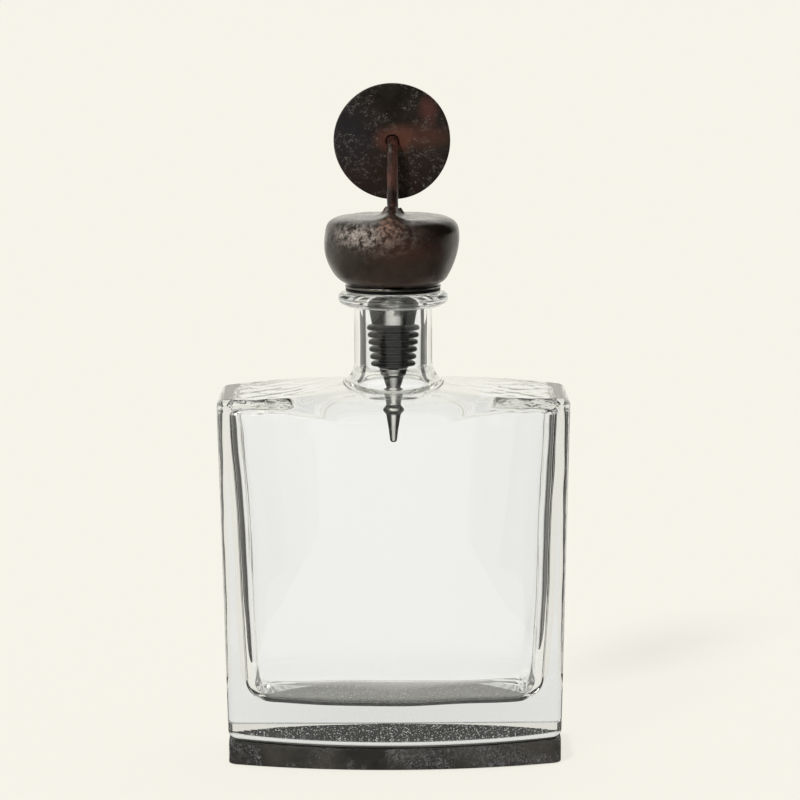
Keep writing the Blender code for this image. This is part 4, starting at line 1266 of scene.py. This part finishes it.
def knob_finish():
    """Waxed bronze-brown iron: glossy, with a crumpled band across the upper front that carries a
    painted highlight in pale blotches, painted shade high on the right, a reddish knuckle, and a
    crown painted greyish as a reflection."""
    made, tree, shader = blank("waxed forged iron")
    scale = placed(tree, FORGE_SCALE, Size=0.6)
    lines = placed(tree, SCRATCHES, Density=0.35)["Mask"]
    base = tint(tree, scale["Mottle"], (0.006, 0.005, 0.0037), (0.035, 0.029, 0.022))
    low, high = KNOB_LOW.z, KNOB_HIGH.z
    red = patch_mask(tree, high, (4, -20, -12), (14, 20, 7), 0.6)
    foot = patch_mask(tree, low, (0, -18, 2), (16, 20, 5), 0.5)
    # painted shade: a dark patch high on the right front, where the knob mirrors dark
    painted_shade = patch_mask(tree, high, (19, -12, -6.5), (10, 20, 5.5), 0.7)
    crumple = patch_mask(tree, high, (-6, -20, -8.5), (14, 22, 5), 0.6)
    # painted highlight: a brighter patch on the left of the crumpled band, where the soft light glints
    painted_sheen = patch_mask(tree, high, (-11.5, -19, -7.8), (8.5, 16, 3.4), 0.7)
    knuckle = patch_mask(tree, high, (-1.5, -21, -5), (4, 16, 4.2), 0.6)
    blotches = noise(tree, texture_space(tree), 420.0, 8.0, 0.78)
    # painted highlight: pale blotches over the crumpled band, standing in for glints of light
    painted_highlight = maths(tree, "MAXIMUM", times(tree, crumple, 0.22), painted_sheen)
    painted_highlight = times(tree, painted_highlight, window(tree, blotches, 0.44, 0.62))
    reddish = times(tree, knuckle, window(tree, blotches, 0.46, 0.62, 0.05, 0.9))
    place = axes(tree, texture_space(tree))
    # painted reflection: the crown is painted pale grey in blotches, standing in for the pale room it
    # mirrors
    crown = window(tree, place["Z"], CROWN_LEVEL - 2.2 * MM, CROWN_LEVEL - 0.6 * MM)
    aside = window(tree, maths(tree, "ABSOLUTE", place["X"]), 3.5 * MM, 7.5 * MM)
    crown_sheen = window(tree, blotches, 0.36, 0.58, 0.35, 0.95)
    washes = [
        (red, 0.8, (0.034, 0.014, 0.010)),
        (foot, 0.5, (0.040, 0.022, 0.018)),
        (painted_shade, 0.85, (0.003, 0.0024, 0.0018)),
        (lines, 0.3, (0.16, 0.14, 0.12)),
        (painted_highlight, 1.0, (0.52, 0.45, 0.40)),
        (reddish, 1.0, (0.26, 0.145, 0.105)),
        (times(tree, crown, aside), crown_sheen, (0.19, 0.18, 0.165)),
    ]
    feed(tree, shader, Base_Color=washed(tree, base, washes), Metallic=0.1, IOR=1.9)
    feed(tree, shader, Specular_IOR_Level=0.08)
    feed(tree, shader, Roughness=window(tree, place["Z"], low + 11 * MM, low + 20 * MM, 0.24, 0.10))
    under = bumped(tree, None, noise(tree, texture_space(tree), 110.0, 3.0, 0.5), 0.5 * MM, 0.5)
    rough = times(tree, blotches, window(tree, crumple, 0, 1, 0.12, 1.0))
    bumped(tree, shader, rough, 1.0 * MM, 1.0, under)
    return made


def rust_finish(name, dark, light, roughness, depth):
    """Reddish-brown iron for the rod and the welds: runs of rust over dark metal. The depth is that
    of its crust."""
    made, tree, shader = blank(name)
    scale = placed(tree, FORGE_SCALE, Size=1.4)
    runs = noise(tree, texture_space(tree, (1, 1, 3.0)), 420.0, 4.0, 0.6)
    share = times(tree, window(tree, runs, 0.36, 0.58), scale["Mottle"])
    feed(tree, shader, Base_Color=tint(tree, share, dark, light), Metallic=0.15, IOR=1.8)
    feed(tree, shader, Specular_IOR_Level=0.3, Roughness=roughness)
    bumped(tree, shader, scale["Height"], depth, 0.9)
    return made


def steel_finish():
    """Polished stainless steel with faint turning rings, a painted reflection that is bright where it
    faces the view and dark where it turns away, and painted shade in clouds high up. Its images of
    images in the glass stay pale."""
    made, tree, shader = blank("turned stainless steel")
    # painted reflection: the colour is pale where the steel faces the view and near black where it
    # turns away
    facing = add(tree, "ShaderNodeLayerWeight", Blend=0.5).outputs["Facing"]
    aside = window(tree, facing, 0.02, 0.18)
    painted_sheen = tint(tree, aside, (0.88, 0.866, 0.83), (0.03, 0.03, 0.028))
    # painted shade: darker clouds on the steel high up, on the cone
    clouds = noise(tree, texture_space(tree, (1, 1, 0.6)), 190.0, 4.0, 0.6, 0.6)
    high = window(tree, axes(tree, texture_space(tree))["Z"], SHADE_CLOUD_FROM, SHADE_CLOUD_FULL)
    cloud_shade = times(tree, window(tree, clouds, 0.38, 0.56), high)
    sheen = tint(tree, cloud_shade, painted_sheen, (0.14, 0.137, 0.128))
    feed(tree, shader, Base_Color=tint(tree, thrown_back(tree), sheen, IMAGE_PALE), Metallic=1.0)
    rings = noise(tree, texture_space(tree, (50, 50, 1)), 5200.0, 3.0, 0.6)
    feed(tree, shader, Roughness=window(tree, rings, 0.3, 0.7, 0.10, 0.2))
    bumped(tree, shader, rings, 0.02 * MM, 0.6)
    return made


def rubber_finish():
    """Black moulded rubber with a soft gloss and a fine skin. Its images of images in the glass are
    pale, so that the neck stays clear."""
    made, tree, shader = blank("black rubber")
    grain = noise(tree, texture_space(tree), 2600.0, 3.0, 0.6)
    black = tint(tree, grain, (0.002, 0.002, 0.002), (0.007, 0.007, 0.007))
    feed(tree, shader, Base_Color=tint(tree, thrown_back(tree), black, IMAGE_PALE))
    feed(tree, shader, Roughness=window(tree, grain, 0.3, 0.7, 0.30, 0.44))
    feed(tree, shader, Specular_IOR_Level=0.07)
    bumped(tree, shader, grain, 0.03 * MM, 0.5)
    return made


def bed_finish():
    """Nearly black adhesive, a little cloudy, with fine paler specks."""
    made, tree, shader = blank("black bond")
    fine = placed(tree, SPECKS, Scale=1500.0, Share=0.2, Size=0.35)["Mask"]
    cloud = noise(tree, texture_space(tree), 60.0, 3.0, 0.6)
    base = tint(tree, cloud, (0.050, 0.050, 0.048), (0.115, 0.115, 0.110))
    speckled = washed(tree, base, [(fine, 0.4, (0.22, 0.22, 0.20))])
    feed(tree, shader, Base_Color=speckled, Roughness=0.6, Specular_IOR_Level=0.0)
    bumped(tree, shader, cloud, 0.4 * MM, 0.6)
    return made


def grit_finish():
    """Pale mineral grains, each of its own tone, with shiny facets."""
    made, tree, shader = blank("pale grit")
    tone = noise(tree, texture_space(tree), 900.0, 1.0, 0.5)
    pale = tint(tree, window(tree, tone, 0.42, 0.58), (0.12, 0.12, 0.114), (1.0, 0.99, 0.95))
    feed(tree, shader, Base_Color=pale, Specular_IOR_Level=0.2)
    feed(tree, shader, Roughness=window(tree, tone, 0.3, 0.7, 0.35, 0.15))
    return made


def felt_finish():
    """Thin black felt with a fibrous nap."""
    made, tree, shader = blank("black felt")
    nap = noise(tree, texture_space(tree), 1800.0, 6.0, 0.75, 1.2)
    black = tint(tree, nap, (0.006, 0.006, 0.006), (0.03, 0.03, 0.031))
    feed(tree, shader, Base_Color=black, Roughness=0.95, Sheen_Weight=0.4)
    bumped(tree, shader, nap, 0.3 * MM, 0.8)
    return made


def dress():
    """Every piece with its finish."""
    rubber = rubber_finish()
    steel = steel_finish()
    rusty_weld = rust_finish("weld bead", (0.010, 0.006, 0.005), (0.11, 0.046, 0.034), 0.22, 0.0012)
    rusty_rod = rust_finish("rod iron", (0.009, 0.0055, 0.0045), (0.10, 0.036, 0.026), 0.24, 0.0004)
    piece("clear_flask", flask_mesh(), glass_finish(), "flask", "glass", "glass_body")
    piece("iron_plate", plate_mesh(), plate_finish(), "flask", "iron_plate", "base_plate")
    piece("grit_bed", bed_mesh(), bed_finish(), "flask", "bond", "base_bond")
    piece("bed_grit", grit_mesh(), grit_finish(), "flask", "bond")
    piece("seal_ring", seal_mesh(), rubber, "seal", "black_rubber", "lip_seal")
    piece("turned_plug", plug_mesh(), steel, "stopper", "stainless", "plug_body")
    piece("ribbed_sleeve", sleeve_mesh(), rubber, "stopper", "black_rubber", "rib_sleeve")
    piece("turned_tip", tip_mesh(), steel, "stopper", "stainless", "plug_tip")
    knob = piece("forged_knob", knob_mesh(), knob_finish(), "stopper", "forged_knob", "knob")
    knob.visible_transmission = False
    piece("weld_skirt", weld_mesh(), rusty_weld, "stopper", "weld", "rod_weld")
    piece("bent_rod", rod_mesh(), rusty_rod, "stopper", "forged_rod", "rod")
    piece("forged_disc", disc_mesh(), disc_finish(), "stopper", "forged_disc", "disc")
    piece("weld_bead", bead_mesh(), rusty_weld, "stopper", "weld", "disc_weld")
    for node, finish in (("base_felt", felt_finish()), ("threaded_stud", steel)):
        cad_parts[node].data.materials.clear()
        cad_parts[node].data.materials.append(finish)


# Studio

CREAM = (0.893, 0.871, 0.791)
THROUGH_GLASS = (0.915, 0.91, 0.875)
NEAR_BLACK = (0.02, 0.02, 0.02)
BOARD_GREY = (0.32, 0.32, 0.305)
FLOOR_REACH = 14.0
FLOOR_GLOW = 0.845
ROOM_LIGHT = (0.28, 0.28, 0.29)
LEFT_FLOOR = (0.90, 0.87, 0.78)
NEAR_FLOOR = (0.24, 0.225, 0.195)
RIGHT_FLOOR = (0.09, 0.085, 0.075)
NEAR_FLOOR_INSIDE = (0.78, 0.78, 0.75)
AHEAD_INSIDE = (0.74, 0.74, 0.71)
CEILING_DARK = (0.04, 0.04, 0.04)
BOX_BRIGHT = (3.4, 3.25, 2.9)
FILL_BRIGHT = (0.40, 0.39, 0.36)
OVERHEAD_INSIDE = (0.80, 0.80, 0.77)

# Black boards: how far to each side, and how far they reach towards and away from the camera and up
BOARD_AWAY = 0.20
BOARD_NEAR = -0.40
BOARD_FAR = 0.40
BOARD_HEIGHT = 0.15

# The soft box and the fill that mirrors see
SOFT_BOX = (-0.85, -0.50, 0.0)
SOFT_FILL = (-0.60, -0.80, 0.0)

# Where the lamps' light comes from: the key in front on the left, the top lamp overhead
KEY_LAMP = (-0.52, -0.92, 0.92)
TOP_LAMP = (0.1, 0.25, 1.0)

# Slats on the boards, where the bore's edge throws sight, so that they draw its thin lines
SLAT_NEAR = 0.08
SLAT_FAR = 0.18
SLAT_HEIGHT = 0.30

# A black band that stands round the front, level with what the neck's inside mirrors there
BAND_AWAY = 1.2
BAND_LOW = 0.312
BAND_HIGH = 0.352
BAND_TURN = math.radians(125)


def seen_colour(tree, mirrored, through, reflection):
    """Cream straight on, nearly white through glass, and the room in mirrors."""
    return tint(tree, mirrored, tint(tree, through, CREAM, THROUGH_GLASS), reflection)


def flat_object(name, points, faces, finish):
    """An object of flat faces with one material, in the scene."""
    mesh = bpy.data.meshes.new(name)
    mesh.from_pydata(points, [], faces)
    mesh.materials.append(finish)
    made = bpy.data.objects.new(name, mesh)
    bpy.context.scene.collection.objects.link(made)
    return made


def studio_floor():
    """A wide pale floor. Most of its colour is its own where it is seen, so that shadows are soft.
    In mirrors it is grey from just behind the object forwards, pale on the left, dark on the right
    and further in front. What the glass's inside threw back sees it pale throughout."""
    made, tree = bare("pale floor")
    mirrored, through, lighting = ray_story(tree)
    place = axes(tree, texture_space(tree))
    middle = tint(tree, window(tree, place["X"], -0.60, -0.12), LEFT_FLOOR, NEAR_FLOOR)
    across = tint(tree, window(tree, place["X"], 0.02, 0.30), middle, RIGHT_FLOOR)
    far = tint(tree, window(tree, place["Y"], -0.98, -1.06), across, NEAR_BLACK)
    outside = tint(tree, window(tree, place["Y"], 0.30, 0.20), CREAM, far)
    inside = tint(tree, window(tree, place["Y"], -0.02, -0.10), CREAM, NEAR_FLOOR_INSIDE)
    seen = seen_colour(tree, mirrored, through, tint(tree, through, outside, inside))
    shaded = add(tree, "ShaderNodeBsdfDiffuse", Color=scaled(tree, seen, 1 - FLOOR_GLOW))
    glow = add(tree, "ShaderNodeEmission", Color=seen, Strength=FLOOR_GLOW)
    both = add(tree, "ShaderNodeAddShader")
    give(tree, both.inputs[0], shaded.outputs["BSDF"])
    give(tree, both.inputs[1], glow.outputs["Emission"])
    lit = add(tree, "ShaderNodeBsdfDiffuse", Color=CREAM)
    surface_of(tree, lighting, both.outputs["Shader"], lit.outputs["BSDF"])
    reach = FLOOR_REACH
    corners = [(-reach, -reach, 0), (reach, -reach, 0), (reach, reach, 0), (-reach, reach, 0)]
    floor = flat_object("studio_floor", corners, [(0, 1, 2, 3)], made)


def towards(tree, direction, aim):
    """How nearly a direction points at an aim: the cosine of the angle between them."""
    made = add(tree, "ShaderNodeVectorMath", operation="DOT_PRODUCT", Vector=direction)
    give(tree, made.inputs[1], Vector(aim).normalized())
    return made.outputs["Value"]


def studio_room():
    """The room, as the world. In mirrors it is cream behind, dark overhead and dark in front, where
    a soft box hangs up on the left with a dim fill below it. What is seen through the glass has a
    pale ceiling and a grey front instead."""
    world = bpy.data.worlds.new("studio")
    bpy.context.scene.world = world
    world.use_nodes = True
    tree = world.node_tree
    mirrored, through, lighting = ray_story(tree)
    direction = add(tree, "ShaderNodeTexCoord").outputs["Generated"]
    place = axes(tree, direction)
    above = tint(tree, through, CEILING_DARK, OVERHEAD_INSIDE)
    overhead = tint(tree, window(tree, place["Z"], 0.55, 0.85), CREAM, above)
    inside = tint(tree, window(tree, place["Y"], 0.02, -0.25), overhead, AHEAD_INSIDE)
    outside = tint(tree, window(tree, place["Y"], 0.84, 0.66), overhead, NEAR_BLACK)
    plain = tint(tree, through, outside, inside)
    tall = times(tree, window(tree, place["Z"], 0.28, 0.36), window(tree, place["Z"], 0.70, 0.62))
    box = times(tree, tall, window(tree, towards(tree, direction, SOFT_BOX), 0.54, 0.84))
    fill = window(tree, towards(tree, direction, SOFT_FILL), 0.78, 0.98)
    room = tint(tree, box, tint(tree, fill, plain, FILL_BRIGHT), BOX_BRIGHT)
    seen = seen_colour(tree, mirrored, through, room)
    lit = tint(tree, lighting, seen, ROOM_LIGHT)
    feed(tree, tree.nodes["Background"], Color=lit, Strength=1.0)


def black_board(name, points, pale=BOARD_GREY):
    """A black board with paler streaks, or a row of them between points low and high in turn. Only
    rays that the glass's inside threw back see it, so it darkens edges and never shows through the
    flask."""
    made, tree = bare(name)
    rough = noise(tree, texture_space(tree, (1, 1, 12)), 16.0, 3.0, 0.6)
    streaked = tint(tree, window(tree, rough, 0.42, 0.62), NEAR_BLACK, pale)
    dark = add(tree, "ShaderNodeBsdfDiffuse", Color=streaked)
    clear = add(tree, "ShaderNodeBsdfTransparent")
    surface_of(tree, thrown_back(tree), clear.outputs["BSDF"], dark.outputs["BSDF"])
    starts = range(0, len(points) - 2, 2)
    faces = [(start, start + 2, start + 3, start + 1) for start in starts]
    board = flat_object(name, points, faces, made)
    board.visible_camera = False
    board.visible_shadow = False
    board.visible_diffuse = False


def soft_lamp(name, direction, spread, strength):
    """A lamp so far off that it lights the whole floor alike, as wide as a soft box looks. It isn't
    seen through the glass or in mirrors, where the room's own soft box stands for it."""
    light = bpy.data.lights.new(name, "SUN")
    light.angle = math.radians(spread)
    light.energy = strength
    lamp = bpy.data.objects.new(name, light)
    lamp.rotation_euler = Vector(direction).to_track_quat("Z", "Y").to_euler()
    lamp.visible_transmission = False
    lamp.visible_glossy = False
    bpy.context.scene.collection.objects.link(lamp)


def upright(x, near, far, low, high):
    """The corners of an upright board that runs from near to far: low and high in turn."""
    return [(x, near, low), (x, near, high), (x, far, low), (x, far, high)]


def studio():
    """Floor, room, side boards with their slats, the band round the front, and lamps."""
    studio_floor()
    studio_room()
    for side, name in ((-1, "left"), (1, "right")):
        x = side * BOARD_AWAY
        black_board(f"{name}_board", upright(x, BOARD_NEAR, BOARD_FAR, 0, BOARD_HEIGHT))
        slat = upright(x, SLAT_NEAR, SLAT_FAR, BOARD_HEIGHT, SLAT_HEIGHT)
        black_board(f"{name}_slat", slat)
    band = []
    for turn in np.linspace(-BAND_TURN, BAND_TURN, 25):
        x, y = BAND_AWAY * math.sin(turn), -BAND_AWAY * math.cos(turn)
        band += [(x, y, BAND_LOW), (x, y, BAND_HIGH)]
    black_board("front_band", band, NEAR_BLACK)
    soft_lamp("key", KEY_LAMP, 9, 3.0)
    soft_lamp("top", TOP_LAMP, 45, 1.0)


def photograph_camera():
    """The photograph's view: along +Y, pitched down and rolled a trace."""
    data = bpy.data.cameras.new("camera")
    data.sensor_width = SENSOR
    data.lens = LENS
    data.clip_end = 60.0
    camera = bpy.data.objects.new("camera", data)
    camera.location = AIM + DISTANCE * Vector((0, -math.cos(PITCH), math.sin(PITCH)))
    upright = Quaternion((1, 0, 0), math.pi / 2 - PITCH)
    camera.rotation_mode = "QUATERNION"
    camera.rotation_quaternion = upright @ Quaternion((0, 0, 1), ROLL)
    bpy.context.scene.collection.objects.link(camera)
    bpy.context.scene.camera = camera


photograph_camera()
dress()
studio()
bpy.context.scene.view_settings.view_transform = "Standard"
